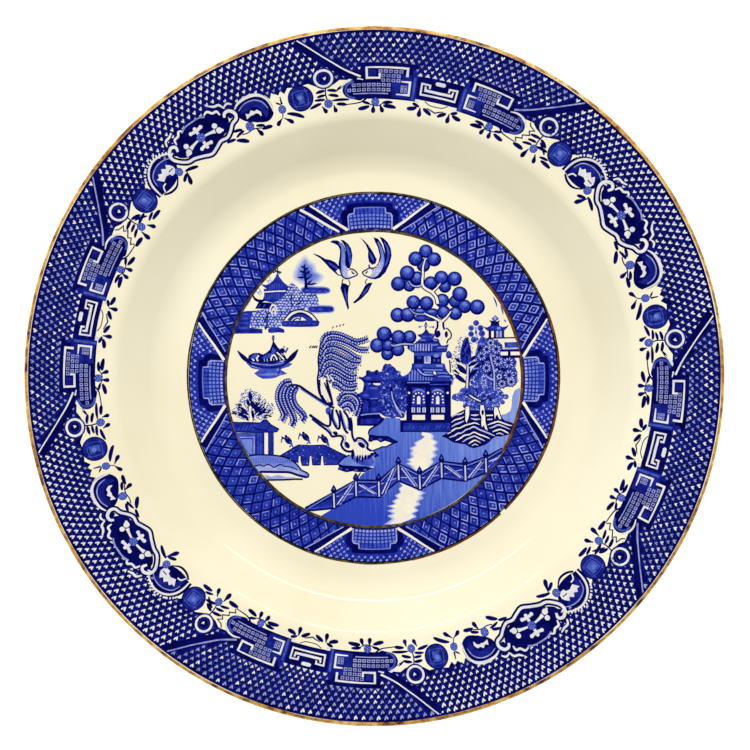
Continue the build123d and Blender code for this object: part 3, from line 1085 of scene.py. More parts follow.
def below_bars(u, v):
    """Whether the cartouche's lattice covers a place."""
    return min(u, FOLD - u) > 33.0 and v - 1.0 > ground_low(u) and v + 0.6 < under_bar(u) - 0.7


def above_bars(u, v):
    """Whether the key blocks' lattice covers a place."""
    return v > under_bar(u) + 1.3 and v - 0.8 > key_floor(u)


def border_repeat(ink):
    """One repeat of the border, from the middle of one key block to the middle of the next."""
    border_ground(ink)
    rows = [124.0, 121.9, 119.8, 117.7, 115.6, 113.5, 111.6, 109.8]
    lattice(ink, 3.2, 178.8, 2.5, rows, below_bars, 1.05, 1.0)
    key_rows = [124.1, 122.2, 120.4, 118.7, 117.0, 115.4, 113.8, 112.3, 110.9]
    lattice(ink, 3.0, 177.8, 176.0 / 70, key_rows, above_bars, 0.93, 0.3)
    for half, left in ((ink, False), (ink.mirrored(FOLD / 2), True)):
        key_half(half)
        key_feet(half, left)
    slanting_bar(ink, bar_line(1), 1)
    slanting_bar(ink, bar_line(-1), -1)
    bracket_sprigs(ink, 45.5, True)
    bracket_sprigs(ink, 137.5, False)
    ring_motif(ink, 45.5, 110.4)
    ring_motif(ink, 137.5, 110.0)
    disc_motif(ink, 54.8, 105.0)
    disc_motif(ink, 128.2, 104.3)
    leaf_a(ink)
    leaf_b(ink)
    cartouche(ink)
    middle_sprig(ink)


for number, knots in enumerate(REPEATS, start=1):
    strip_node = f"border_print_{5 - number}"
    ink = Print(f"border_{number}", "border_ink", [strip_node], border_place(knots))
    border_repeat(ink)
    ink.finish()


# ---------------------------------------------------------------- the band in the well

WELL_SCALE = 1.009
BAND_LOW, BAND_HIGH = 53.8, 66.95
BAND_ARC = 61.0


def band_place(u, v):
    """Maps the band's drawing coordinates, clockwise along it from the top and outwards, to the plate."""
    t = (v - BAND_LOW) / (BAND_HIGH - BAND_LOW)
    a = math.radians(90) - u / BAND_ARC
    r = v * WELL_SCALE
    outwards = (math.cos(a), math.sin(a))
    return tuple(
        near + t * (far - near) + r * way
        for near, far, way in zip(INNER_CENTRE, OUTER_CENTRE, outwards)
    )


DIAMOND_PITCH = 4.23
DIAMOND_RISE = 3.15
DIAMOND_ROWS = (66.35, 63.2, 60.05, 56.9)


def band_diamonds(ink, start, stop, light):
    """The large diamond lattice between two panels: dark lines, light inner diamonds and light eyes."""
    count = round((stop - start) / DIAMOND_PITCH)
    pitch = (stop - start) / count
    for row, v in enumerate(DIAMOND_ROWS):
        for k in range(count + 1):
            u = start + pitch * (k + (0.5 if row % 2 == 0 else 0.0))
            if u > stop:
                continue
            for sx, sy in ((-1, 1), (1, 1), (-1, -1), (1, -1)):
                tip, side = (u, v + 1.95 * sy), (u + 1.4 * sx, v)
                if max(tip[1], side[1]) > BAND_HIGH - 0.1:
                    if v > BAND_HIGH - 0.5 and sy > 0:
                        continue
                    tip = (u + 0.35 * sx, min(tip[1], BAND_HIGH - 0.3))
                if random.random() < 0.18:
                    continue
                bold = random.uniform(0.16, 0.3) + (0.1 if sx == sy else 0.0)
                ink.straight("soft" if random.random() < light else "mid", 2, [tip, side], bold)
            if v < BAND_HIGH - 0.6:
                ink.dot("mid", 2, u, v, 0.6, sides=8)
                ink.dot("soft" if random.random() < light else "wash", 3, u, v, 0.25, sides=6)
            for sx in (-1, 1):
                ends = [(u, v + DIAMOND_RISE), (u + pitch / 2 * sx, v)]
                if ends[0][1] > BAND_HIGH:
                    t = (BAND_HIGH - v) / DIAMOND_RISE
                    ends[0] = (u + pitch / 2 * sx * (1 - t), BAND_HIGH)
                if ends[1][1] < BAND_HIGH:
                    ink.straight("navy", 1, ends, 0.5)
                if row == 3:
                    ink.straight("navy", 1,
                                 [(u + pitch / 2 * sx, v), (u + pitch * 0.06 * sx, BAND_LOW + 0.1)], 0.5)


# The slanting bar, the stepped panel and the dark border round it: how far out from the middle, and radius
BAR = [(9.2, 54.7), (14.3, 59.3), (20.2, 66.5)]
PANEL = [(-8.7, 54.6), (-8.2, 59.4), (-7.6, 60.1), (-5.8, 60.2), (-5.5, 62.0)]
HALO = [(-11.0, 54.2), (-10.8, 60.3), (-10.0, 61.5), (-8.3, 62.0), (-8.0, 63.7)]


def both_sides(half, centre):
    """An outline from its left half."""
    return [(centre + u, v) for u, v in half] + [(centre - u, v) for u, v in half[::-1]]


def bar_at(v):
    """How far the slanting bars stand from a panel's middle at a height."""
    for (u0, v0), (u1, v1) in zip(BAR, BAR[1:]):
        if v <= v1:
            return u0 + (u1 - u0) * (v - v0) / (v1 - v0)
    return BAR[-1][0]


def band_panel(ink, middle, bold_left):
    """A stepped panel with its fine lattice, between two slanting bars."""
    edge = curve(BAR)
    ink.fill("deep", 3, [(middle - u, v) for u, v in edge] + [(middle + u, v) for u, v in edge[::-1]])
    for row in range(9):
        v = 66.2 - 1.22 * row
        for k in range(-10, 11):
            u = middle + 2.1 * k + (row % 2) * 1.05
            off = abs(u - middle)
            if off > bar_at(v) - 1.0 or (off < 11.2 and v < 62.3) or (off < 8.6 and v < 64.2):
                continue
            tick(ink, 4, u, v, random.uniform(0.5, 0.72), "soft" if random.random() < 0.75 else "wash")
    ink.fill("navy", 4, both_sides(HALO, middle))
    ink.fill("deep", 5, both_sides(PANEL, middle))
    ink.straight("soft", 6, [(middle + u, v) for u, v in PANEL], [0.5, 0.5, 0.45, 0.45, 0.45])
    ink.straight("soft", 6, [(middle - u, v) for u, v in PANEL], [0.5, 0.5, 0.45, 0.45, 0.45])
    ink.straight("wash", 6, [(middle - 5.5, 62.0), (middle + 5.5, 62.0)], 0.3)
    for row, (v, reach) in enumerate(((55.3, 5), (56.65, 5), (58.0, 5), (59.3, 5), (60.5, 3), (61.4, 3))):
        for k in range(-reach, reach + 1):
            tone = "soft" if row == 0 else "wash" if row < 4 else "mid"
            ink.fill(tone, 6, box(middle + 1.45 * k - 0.46, v - 0.42, middle + 1.45 * k + 0.46, v + 0.42))
    for side in (-1, 1):
        bold = bold_left and side < 0
        ink.line("navy", 5, [(middle + side * (u + 1.75), v) for u, v in BAR], 2.7)
        ink.line("pale", 6, [(middle + side * u, v) for u, v in BAR], [1.15, 0.85, 0.6])
        ink.line("pale" if bold else "soft", 6, [(middle + side * (u + 3.5), v) for u, v in BAR],
                 [0.7, 0.9, 0.8] if bold else [0.4, 0.35, 0.35])


# Each panel's middle, and how many of the diamonds after it are light
PANELS = [(-1.4, 0.9), (96.0, 0.5), (191.3, 0.18), (285.9, 0.6)]
PANEL_REACH = 12.0


def well_band():
    """The whole band: its ground, its light inner ring, and the four panels with diamonds between."""
    ink = Print("well_band", "well_ink", ["well_band_print"], band_place)
    around = math.radians(360) * BAND_ARC
    us = [around * k / 192 for k in range(192)]
    ink.strip("deep", 0, [(u, BAND_HIGH) for u in us], [(u, BAND_LOW) for u in us], closed=True)
    ink.straight("soft", 8, [(u, BAND_LOW + 0.5) for u in us], 0.3, closed=True)
    ink.straight("navy", 3, [(u, BAND_HIGH - 0.2) for u in us], 0.45, closed=True)
    for k, (middle, light) in enumerate(PANELS):
        following = PANELS[k + 1][0] if k < 3 else PANELS[0][0] + around
        band_diamonds(ink, middle + PANEL_REACH, following - PANEL_REACH, light)
    for k, (middle, _) in enumerate(PANELS):
        band_panel(ink, middle, k == 0)
    ink.finish()


well_band()


# ---------------------------------------------------------------- the scene in the middle

# The circle in which the scene is drawn, and how far it reaches on the plate
DRAWN_CENTRE = (-0.44, -1.12)
DRAWN_RADIUS = 53.4
SCENE_EDGE = LINE_INNER - 0.45


def scene_place(x, y):
    """Maps the scene's drawing coordinates to the plate, and keeps them inside the scene's circle."""
    px = SCENE_CENTRE[0] + (x - DRAWN_CENTRE[0]) * WELL_SCALE
    py = SCENE_CENTRE[1] + (y - DRAWN_CENTRE[1]) * WELL_SCALE
    dx, dy = px - INNER_CENTRE[0], py - INNER_CENTRE[1]
    inwards = min(1.0, SCENE_EDGE / max(math.hypot(dx, dy), 1e-6))
    return INNER_CENTRE[0] + dx * inwards, INNER_CENTRE[1] + dy * inwards


def edge_part(start, stop, count):
    """Points along the scene's edge between two angles."""
    return [polar(*DRAWN_CENTRE, DRAWN_RADIUS, start + (stop - start) * k / count) for k in range(count + 1)]


def inside(x, y, outline):
    """Whether a point is inside a closed outline."""
    hit = False
    for (x0, y0), (x1, y1) in zip(outline, outline[1:] + outline[:1]):
        if (y0 > y) != (y1 > y) and x < x0 + (x1 - x0) * (y - y0) / (y1 - y0):
            hit = not hit
    return hit


def stipple(ink, tone, level, outline, pitch, r, jitter=0.25, chance=1.0):
    """Small dots over an outline, in staggered rows."""
    xs, ys = [p[0] for p in outline], [p[1] for p in outline]
    for k, y in enumerate(steps(min(ys), max(ys), pitch * 0.87)):
        for x in steps(min(xs) + (k % 2) * pitch / 2, max(xs), pitch):
            px = x + random.uniform(-jitter, jitter) * pitch
            py = y + random.uniform(-jitter, jitter) * pitch
            if random.random() < chance and inside(px, py, outline):
                rx, ry = r * random.uniform(0.8, 1.2), r * random.uniform(0.6, 1.0)
                ink.dot(tone, level, px, py, rx, ry, sides=6)


def strokes(ink, tone, level, width, *lines):
    """Several lines in one tone and width."""
    for points in lines:
        ink.line(tone, level, points, width)


def water(ink):
    """The lake, its light reflections and its shores."""
    lake = [(-1.9, -20.3), (-1.4, -19.2), (0.4, -18.2), (2.0, -17.3), (3.2, -16.0), (4.0, -15.2),
            (9.4, -15.6), (9.4, -20.2), (24.2, -20.4), (30.0, -20.5), (40.0, -18.0), (45.6, -16.0),
            (45.9, -14.3), (47.6, -13.9), (49.2, -12.9), (49.7, -11.0), (49.9, -7.6), (50.8, -5.4),
            (52.6, -4.4)]
    lake += edge_part(-4.5, -111.0, 48)
    lake += [(-15.0, -48.2), (-8.0, -43.0), (-6.0, -38.4), (-5.4, -36.7), (-4.2, -35.5), (-1.6, -34.3),
             (-0.4, -33.4), (0.2, -30.0), (-0.6, -27.3), (1.4, -26.4), (4.4, -25.7), (8.4, -24.0),
             (6.2, -22.7), (4.8, -22.0), (0.8, -21.8), (-1.6, -21.4)]
    ink.fill("water", 0, lake)
    bright = [(17.2, -20.5), (20.6, -21.0), (21.3, -22.0), (20.9, -23.0), (22.9, -24.2), (21.7, -25.4),
              (23.0, -26.8), (21.3, -27.7), (22.4, -29.0), (20.7, -30.3), (21.5, -31.5), (19.9, -33.0),
              (18.5, -34.6), (15.8, -35.2), (13.8, -33.6), (13.3, -32.8), (11.7, -32.0), (12.9, -31.1),
              (11.8, -30.6), (13.8, -29.6), (12.9, -28.2), (13.7, -27.3), (13.0, -26.3), (15.0, -25.4),
              (14.5, -24.4), (17.0, -23.1), (18.4, -22.2), (16.9, -21.5)]
    glint = [(9.0, -38.6), (12.0, -39.5), (16.0, -41.7), (18.1, -42.5), (16.6, -43.5), (17.5, -44.5),
             (15.6, -45.6), (16.5, -46.8), (14.6, -47.8), (15.8, -49.0), (13.6, -50.0), (15.0, -51.2),
             (12.5, -52.4), (9.0, -53.6), (4.0, -54.0), (6.7, -52.0), (5.1, -50.9), (7.0, -50.0),
             (4.9, -49.0), (7.0, -48.2), (4.9, -47.3), (7.5, -46.6), (6.5, -45.5), (8.5, -44.5), (7.5, -43.5),
             (9.4, -42.4), (8.8, -41.0), (10.1, -40.0)]
    for outline, middle in ((bright, 17.6), (glint, 11.2)):
        for level, (tone, spread) in enumerate((("soft", 1.08), ("fog", 0.96), ("pale", 0.82)), start=2):
            ink.fill(tone, level, [(middle + spread * (x - middle), y) for x, y in outline])
    # The shore that comes down from the left pavilion, and the light spit below it
    ink.line("navy", 2, [(3.4, -15.6), (2.4, -16.9), (1.0, -17.9), (-0.7, -18.9), (-1.8, -19.8),
                         (-2.1, -20.9), (-1.8, -22.0), (-1.9, -23.8)], 0.6)
    ink.fill("pale", 1, [(-2.2, -23.6), (2.0, -23.2), (6.2, -24.2), (4.6, -25.5), (2.6, -26.0), (0.6, -26.8),
                         (-0.8, -27.3), (-2.4, -26.8)])
    ink.fill("navy", 2, [(-2.0, -21.3), (0.8, -21.8), (4.8, -21.9), (6.2, -22.7), (8.7, -24.0), (7.0, -24.9),
                         (5.4, -24.2), (3.8, -23.7), (2.2, -24.3), (0.9, -23.5), (-0.4, -23.6), (-1.1, -24.1),
                         (-2.3, -23.9)])
    ink.dot("mid", 3, 2.1, -23.2, 0.75, 0.42)
    ink.dot("deep", 3, -1.1, -23.0, 0.6, 0.5)
    ink.dot("deep", 3, 5.0, -23.3, 0.5, 0.3)
    ink.line("navy", 2, [(-2.7, -26.5), (-1.0, -27.3), (0.5, -26.8), (1.7, -26.4), (2.7, -25.9), (4.4, -25.8),
                         (6.0, -24.9), (8.5, -24.0)], 0.55)
    for x, y, r in ((-0.9, -28.6, 0.7), (0.2, -28.2, 0.6), (1.0, -28.9, 0.6), (0.3, -29.3, 0.5),
                    (-1.6, -29.4, 0.6)):
        ink.dot("navy", 3, x, y, r)


def middle_bank(ink):
    """The low island at the bridge's right end, under the willow's roots."""
    ink.fill("wash", 1, [(-13.3, -31.9), (-11.6, -30.4), (-9.0, -28.9), (-4.0, -28.4), (0.2, -28.6),
                         (0.4, -33.0), (-6.0, -33.2), (-12.5, -32.8)])
    ink.fill("mid", 2,
             [(-8.0, -30.0), (-1.0, -29.6), (0.0, -31.5), (-1.5, -32.9), (-5.0, -32.4), (-7.6, -31.0)])
    ink.line("navy", 2, [(-13.4, -32.3), (-12.4, -31.0), (-11.0, -29.8), (-9.0, -28.8)], 0.55)
    ink.fill("navy", 3, [(-13.4, -31.9), (-11.5, -32.5), (-7.0, -32.8), (-3.0, -32.9), (-0.4, -33.5),
                         (-1.8, -34.3), (-3.4, -35.1), (-5.0, -35.0), (-6.2, -35.0), (-8.0, -34.7),
                         (-10.2, -35.1), (-12.2, -34.5), (-13.5, -34.0), (-12.9, -33.1)])
    for x, y in ((-10.0, -34.1), (-6.7, -34.3), (-3.4, -34.3), (-12.3, -33.7)):
        ink.dot("mid", 4, x, y, 0.65, 0.36)
    ink.line("navy", 2, [(-5.0, -35.2), (-5.8, -36.4), (-6.2, -38.2)], 0.5)


def willow_trunk(ink):
    """The willow's forked trunks, knots and spiky roots."""
    ink.fill("pale", 4, [(-8.0, -22.0), (-5.5, -23.2), (-2.6, -25.0), (-2.9, -27.0), (-1.6, -28.4),
                         (-2.6, -29.0), (-3.2, -28.7), (-3.9, -29.8), (-4.7, -30.8), (-5.3, -29.9),
                         (-5.9, -30.2), (-6.3, -29.6), (-7.0, -29.0), (-7.9, -26.6), (-9.4, -25.0)])
    for x, low, w in ((-8.0, -30.6, 1.3), (-6.3, -31.9, 0.9), (-5.4, -30.5, 0.8), (-4.5, -31.7, 0.8),
                      (-3.4, -30.7, 0.9), (-2.2, -30.4, 0.9)):
        ink.leaf("navy", 5, (x + 0.2, -26.6 if x < -7.5 else -28.7), (x, low), w)
    strokes(ink, "navy", 5, 0.85, [(-19.3, -3.0), (-19.2, -7.0), (-17.4, -10.0), (-15.6, -11.4)],
            [(-18.3, -2.6), (-17.1, -6.5), (-16.2, -10.4), (-14.6, -11.9)],
            [(-20.0, -1.5), (-20.0, -5.0), (-19.2, -7.6), (-18.2, -9.4)],
            [(-15.2, -12.2), (-15.4, -15.4), (-13.9, -18.7), (-12.7, -19.0), (-12.8, -15.6), (-14.0, -12.4)],
            [(-12.6, -12.6), (-11.9, -16.0), (-10.9, -19.4), (-9.6, -21.0)],
            [(-9.0, -20.0), (-9.0, -17.4), (-9.8, -14.8), (-11.2, -12.8)],
            [(-8.8, -15.2), (-8.3, -17.4), (-8.2, -20.0), (-8.0, -22.0), (-7.1, -24.1)],
            [(-23.6, -14.3), (-21.0, -16.0), (-18.4, -17.8), (-16.6, -18.3), (-16.0, -17.0), (-16.4, -13.2)],
            [(-22.6, -15.7), (-20.0, -17.8), (-17.4, -19.7), (-16.1, -21.0), (-15.3, -22.1), (-13.6, -21.9),
             (-12.0, -22.0), (-11.4, -23.0), (-11.9, -24.3), (-12.0, -25.4), (-11.0, -26.9), (-9.4, -27.6),
             (-8.1, -27.4)],
            [(-7.1, -24.1), (-6.4, -22.9), (-5.6, -22.7), (-4.3, -23.0), (-3.2, -24.0), (-2.5, -25.0),
             (-2.6, -26.4), (-1.2, -27.3)])
    strokes(ink, "soft", 4, 0.5, [(-22.2, -14.9), (-19.8, -17.0), (-17.0, -18.9), (-15.4, -20.9)],
            [(-11.4, -21.4), (-10.4, -22.6), (-11.0, -24.6), (-10.2, -26.2)],
            [(-6.3, -23.9), (-5.2, -23.5), (-3.9, -24.1), (-3.2, -25.2)])
    strokes(ink, "wash", 4, 0.5, [(-15.0, -13.0), (-14.8, -15.6), (-13.4, -18.4)],
            [(-10.6, -13.4), (-9.6, -16.0), (-9.6, -19.4)], [(-12.0, -13.4), (-11.2, -16.4), (-10.2, -19.4)])
    for x, y, rx, ry, turn in ((-14.2, -20.9, 0.95, 0.65, -20), (-9.9, -25.2, 0.8, 1.35, 30),
                               (-4.7, -25.2, 1.5, 0.85, -38)):
        ink.dot("navy", 5, x, y, rx, ry, turn)
    ink.dot("navy", 5, -23.0, -14.6, 0.8, 0.5, -30)
    ink.dot("navy", 5, -22.0, -16.0, 0.8, 0.5, -30)
    ink.fill("mid", 4, [(-17.6, -12.0), (-16.2, -11.4), (-15.8, -13.0), (-16.6, -14.4), (-17.6, -13.6)], True)
    ink.line("navy", 5, [(-30.2, -3.3), (-27.4, -3.8), (-24.4, -5.8), (-21.0, -8.0), (-17.6, -10.2),
                         (-14.6, -11.9)], [0.6, 0.9, 0.95, 0.9, 0.8, 0.7])
    ink.line("wash", 4, [(-26.8, -4.8), (-23.8, -6.8), (-20.4, -9.0), (-17.4, -11.0)], 0.6)


# The fronds of the willow's crown, of its left side and of its lowest branches
FRONDS = [
    [(-19.0, 11.4), (-18.0, 14.0), (-15.6, 15.0), (-12.4, 14.6), (-9.2, 13.2), (-6.6, 12.2), (-4.2, 12.6),
     (-2.3, 13.4)],
    [(-19.2, 9.2), (-17.8, 12.0), (-15.2, 12.9), (-12.0, 12.4), (-9.0, 11.2), (-6.2, 9.6), (-4.0, 9.2),
     (-2.2, 9.3)],
    [(-19.4, 6.6), (-18.0, 9.6), (-15.4, 10.6), (-12.4, 9.8), (-9.6, 8.4), (-7.0, 6.6), (-4.9, 6.0)],
    [(-19.6, 4.0), (-18.4, 7.0), (-16.0, 8.2), (-13.4, 7.4), (-10.6, 6.0), (-8.0, 4.8), (-5.0, 4.6)],
    [(-19.6, 1.4), (-18.4, 4.6), (-16.0, 5.8), (-13.2, 4.8), (-10.6, 3.2), (-8.2, 2.4), (-6.2, 3.0)],
    [(-19.4, -1.2), (-18.0, 2.0), (-15.8, 3.4), (-13.0, 2.4), (-10.4, 0.8), (-8.2, -0.2), (-6.4, 0.2)],
    [(-17.6, -1.0), (-16.0, 0.8), (-13.8, 0.4), (-11.4, -1.2), (-9.0, -2.2), (-6.6, -1.8)],
    [(-16.6, -2.4), (-14.8, -1.4), (-12.8, -2.2), (-10.6, -3.8), (-8.4, -4.2), (-6.3, -3.8)],
    [(-15.4, -3.4), (-13.4, -3.8), (-11.4, -5.2), (-9.0, -5.6), (-7.0, -5.2)],
]
SIDE_FRONDS = [
    [(-30.0, -2.2), (-32.6, -2.8), (-34.4, -5.4), (-34.8, -8.4), (-33.8, -11.4), (-32.6, -14.2),
     (-33.6, -16.6)],
    [(-29.6, -3.2), (-31.4, -4.4), (-32.4, -7.2), (-31.6, -10.4), (-30.2, -13.4), (-29.2, -16.2),
     (-30.2, -18.4)],
    [(-28.0, -4.0), (-29.4, -5.6), (-29.8, -8.2), (-28.8, -11.0), (-26.8, -13.2), (-25.6, -15.0),
     (-26.4, -16.6)],
]
LOW_FRONDS = [
    [(-13.0, -9.6), (-11.8, -7.4), (-9.8, -6.6), (-7.6, -7.0), (-6.0, -8.4), (-5.4, -10.4), (-6.2, -13.0),
     (-6.8, -14.8)],
    [(-12.9, -11.2), (-11.2, -9.6), (-9.2, -9.2), (-7.6, -10.4), (-6.9, -12.4)],
    [(-11.8, -12.0), (-10.2, -11.2), (-8.8, -11.8), (-8.0, -13.2)],
]


def frond(ink, points, width):
    """One trailing frond: a dark band with a spine, scalloped edges and two rows of light beads."""
    path = curve(points, steps=8)
    ink.line("deep", 3, points, [width] + [width * 1.25] * (len(points) - 2) + [width * 0.8])
    ink.line("navy", 4, points, 0.34)
    gone = 0.0
    for a, b in zip(path, path[1:]):
        gone += math.dist(a, b)
        if gone < 0.72:
            continue
        gone = 0.0
        along = Vector((b[0] - a[0], b[1] - a[1])).normalized()
        across = Vector((-along.y, along.x))
        lean = math.degrees(math.atan2(along.y, along.x)) - 20
        for side in (-1, 1):
            edge, bead = 0.64 * width * side, 0.34 * width * side
            ink.dot("navy", 4, b[0] + across.x * edge, b[1] + across.y * edge, 0.27, sides=6)
            ink.dot("soft" if side > 0 else "fog", 5, b[0] + across.x * bead + along.x * 0.2 * side,
                    b[1] + across.y * bead + along.y * 0.2 * side, 0.33, 0.26, lean, 7)


def willow(ink):
    """The willow tree, leaning over its roots with three crowns of fronds."""
    for points in FRONDS:
        frond(ink, points, 1.65)
    for points in SIDE_FRONDS:
        frond(ink, points, 1.9)
    for points in LOW_FRONDS:
        frond(ink, points, 1.8)
    ink.line("navy", 6, [(-19.6, 11.8), (-20.0, 9.0), (-20.4, 6.0), (-20.2, 2.0), (-20.6, -1.0),
                         (-20.5, -4.0), (-20.0, -6.4), (-18.8, -9.0)],
             [0.4, 0.5, 0.6, 0.6, 0.7, 0.6, 0.6, 0.5])
    ink.line("navy", 5, [(-17.4, -1.4), (-16.8, -4.4), (-16.0, -7.6), (-15.2, -10.8)], [0.6, 1.1, 1.2, 0.8])
    strokes(ink, "pale", 6, 0.8, [(-19.2, -0.6), (-18.6, -3.4), (-17.4, -6.4), (-16.2, -9.6)],
            [(-18.6, -1.4), (-19.2, -4.0), (-18.8, -7.0)])
    strokes(ink, "pale", 6, 0.5, [(-17.2, 0.4), (-16.4, -1.8)], [(-16.0, -0.4), (-14.8, -2.0)])
    for x, y in ((-15.2, 17.4), (-13.8, 17.8), (-12.6, 18.1), (-11.4, 18.4)):
        ink.leaf("navy", 2, (x - 0.2, y - 0.5), (x + 0.4, y + 0.5), 0.42)
    for x in (-23.4, -22.5, -21.8, -21.1):
        ink.leaf("navy", 2, (x - 0.3, 9.8), (x + 0.5, 10.9), 0.55)
    willow_trunk(ink)


def bird_left(ink):
    """The left-hand bird, flying to the right with its wings swept up."""
    ink.fill("navy", 2, [(-22.4, 44.3), (-20.0, 43.5), (-17.8, 42.2), (-16.0, 41.9), (-14.2, 41.0),
                         (-13.2, 40.0), (-12.2, 38.4), (-12.8, 36.8), (-14.4, 37.2), (-16.0, 38.6),
                         (-17.6, 40.4), (-19.6, 42.4), (-22.0, 43.9)])
    ink.leaf("mid", 3, (-16.8, 40.9), (-12.8, 38.2), 0.8)
    ink.fill("navy", 2, [(-12.4, 49.2), (-11.2, 49.0), (-9.6, 47.8), (-8.5, 46.0), (-8.0, 43.6), (-8.3, 41.0),
                         (-9.0, 38.6), (-10.0, 38.6), (-10.6, 43.0), (-10.4, 45.6), (-11.2, 47.6)])
    ink.leaf("mid", 3, (-10.4, 47.8), (-8.9, 39.8), 1.1, 0.5)
    ink.fill("navy", 3, [(-16.1, 48.3), (-15.2, 49.0), (-13.4, 48.9), (-11.6, 47.8), (-10.6, 46.0),
                         (-10.2, 43.0), (-9.6, 40.4), (-8.6, 38.4), (-8.0, 35.8), (-10.0, 34.9),
                         (-11.7, 35.4), (-12.6, 37.6), (-13.1, 40.4), (-12.6, 43.2), (-12.5, 45.4),
                         (-13.2, 47.0), (-14.6, 47.8)])
    ink.line("wash", 4,
             [(-12.8, 48.3), (-11.6, 46.4), (-11.3, 43.6), (-11.4, 40.8), (-10.9, 38.4), (-10.0, 36.8)],
             [0.6, 1.0, 1.3, 1.5, 1.9, 1.6])
    ink.fill("soft", 5, [(-11.6, 40.4), (-10.4, 39.6), (-9.2, 38.4), (-8.6, 37.4), (-8.2, 36.0), (-9.6, 35.3),
                         (-11.2, 35.8), (-11.9, 37.4), (-12.0, 39.0)], True)
    ink.fill("pale", 6, [(-9.2, 38.3), (-8.0, 38.2), (-6.9, 37.6), (-6.4, 36.7), (-7.2, 35.9), (-8.6, 35.6),
                         (-9.6, 36.2), (-9.7, 37.4)])
    stipple(ink, "pale", 7, [(-11.6, 40.0), (-9.0, 38.6), (-8.4, 35.8), (-11.2, 36.0)], 0.7, 0.2)
    strokes(ink, "navy", 7, 0.5, [(-9.0, 38.6), (-8.0, 38.5), (-6.9, 37.8), (-6.2, 36.7), (-6.9, 36.1),
                                  (-8.2, 35.6), (-9.4, 35.1), (-10.9, 35.1)],
            [(-8.3, 37.8), (-7.8, 37.0), (-7.2, 37.0)])
    ink.fill("pale", 4, [(-14.0, 37.9), (-12.9, 38.6), (-12.4, 37.2), (-13.2, 36.6)])
    ink.line("navy", 5, [(-14.4, 37.6), (-13.4, 36.6), (-12.0, 36.2)], 0.4)
    ink.fill("navy", 2, [(-11.9, 33.6), (-10.4, 33.2), (-9.2, 32.4), (-9.6, 29.6), (-9.6, 27.0), (-9.2, 24.4),
                         (-9.7, 23.7), (-10.4, 26.0), (-11.4, 28.8), (-12.4, 31.6)])
    ink.leaf("mid", 3, (-10.9, 31.8), (-10.0, 26.2), 0.55)
    ink.line("navy", 2, [(-11.4, 35.0), (-11.8, 33.6)], 0.4)
    ink.line("navy", 2, [(-9.4, 34.6), (-8.9, 33.2), (-9.6, 32.0)], 0.35)


def bird_right(ink):
    """The right-hand bird, facing the other."""
    ink.fill("navy", 2, [(-5.4, 50.0), (-3.8, 49.0), (-2.2, 47.2), (-0.6, 44.8), (0.8, 42.0), (0.4, 40.6),
                         (-0.9, 40.1), (-2.0, 41.2), (-2.4, 43.0), (-2.3, 45.2), (-3.2, 47.4), (-4.4, 49.0)])
    ink.leaf("mid", 3, (-1.9, 44.8), (-0.2, 41.2), 0.8)
    ink.fill("navy", 2, [(1.8, 50.3), (3.2, 49.8), (4.8, 48.2), (5.9, 46.0), (6.2, 43.4), (5.4, 40.4),
                         (4.0, 37.4), (2.0, 35.4), (0.2, 34.8), (-2.2, 35.5), (-1.0, 36.4), (1.6, 38.0),
                         (3.2, 41.0), (3.8, 44.4), (3.2, 47.4)])
    ink.line("mid", 3, [(3.6, 48.4), (4.9, 45.6), (4.9, 42.6), (3.8, 39.6)], [0.4, 0.8, 0.8, 0.5])
    ink.fill("navy", 3, [(-0.4, 50.1), (1.2, 49.6), (2.6, 47.6), (3.7, 44.6), (3.8, 41.4), (2.6, 38.4),
                         (0.4, 37.0), (-1.2, 37.6), (0.2, 39.2), (1.4, 40.8), (1.9, 43.4), (1.2, 46.4),
                         (0.2, 48.4)])
    ink.line("wash", 4, [(1.2, 48.4), (2.3, 46.0), (2.9, 43.2), (2.7, 40.6), (1.4, 38.4), (-0.2, 37.2)],
             [0.5, 0.9, 1.1, 1.5, 2.2, 2.0])
    ink.fill("soft", 5, [(2.9, 43.0), (3.2, 40.4), (2.4, 38.0), (0.8, 36.0), (-0.8, 35.5), (-2.6, 35.8),
                         (-3.8, 36.4), (-4.0, 37.2), (-2.8, 38.0), (-1.4, 38.7), (0.0, 38.8), (1.4, 40.4)],
             True)
    ink.fill("pale", 6, [(-4.0, 37.2), (-2.8, 38.2), (-1.4, 38.6), (-0.8, 37.6), (-1.4, 36.2), (-2.8, 35.9),
                         (-3.8, 36.5)])
    stipple(ink, "pale", 7, [(-1.4, 38.4), (2.4, 41.0), (2.4, 38.0), (0.6, 36.0), (-1.4, 35.8)], 0.7, 0.2)
    strokes(ink, "navy", 7, 0.5, [(0.8, 39.4), (-0.6, 38.8), (-1.7, 39.0), (-2.8, 38.4), (-4.3, 37.5),
                                  (-3.9, 36.5), (-2.6, 35.8), (-0.9, 35.2), (0.6, 35.3)],
            [(-2.6, 37.9), (-2.9, 37.2), (-3.4, 37.1)], [(-2.0, 40.2), (-1.9, 39.0)])
    ink.fill("navy", 2, [(-0.7, 33.6), (-2.2, 33.6), (-3.4, 32.6), (-4.6, 30.4), (-5.8, 28.4), (-7.9, 26.4),
                         (-7.1, 26.1), (-4.6, 27.9), (-2.4, 30.2)])
    ink.leaf("mid", 3, (-1.9, 32.4), (-4.6, 28.9), 0.6)
    ink.line("navy", 2, [(-2.6, 35.0), (-3.3, 34.0), (-3.0, 33.0)], 0.35)


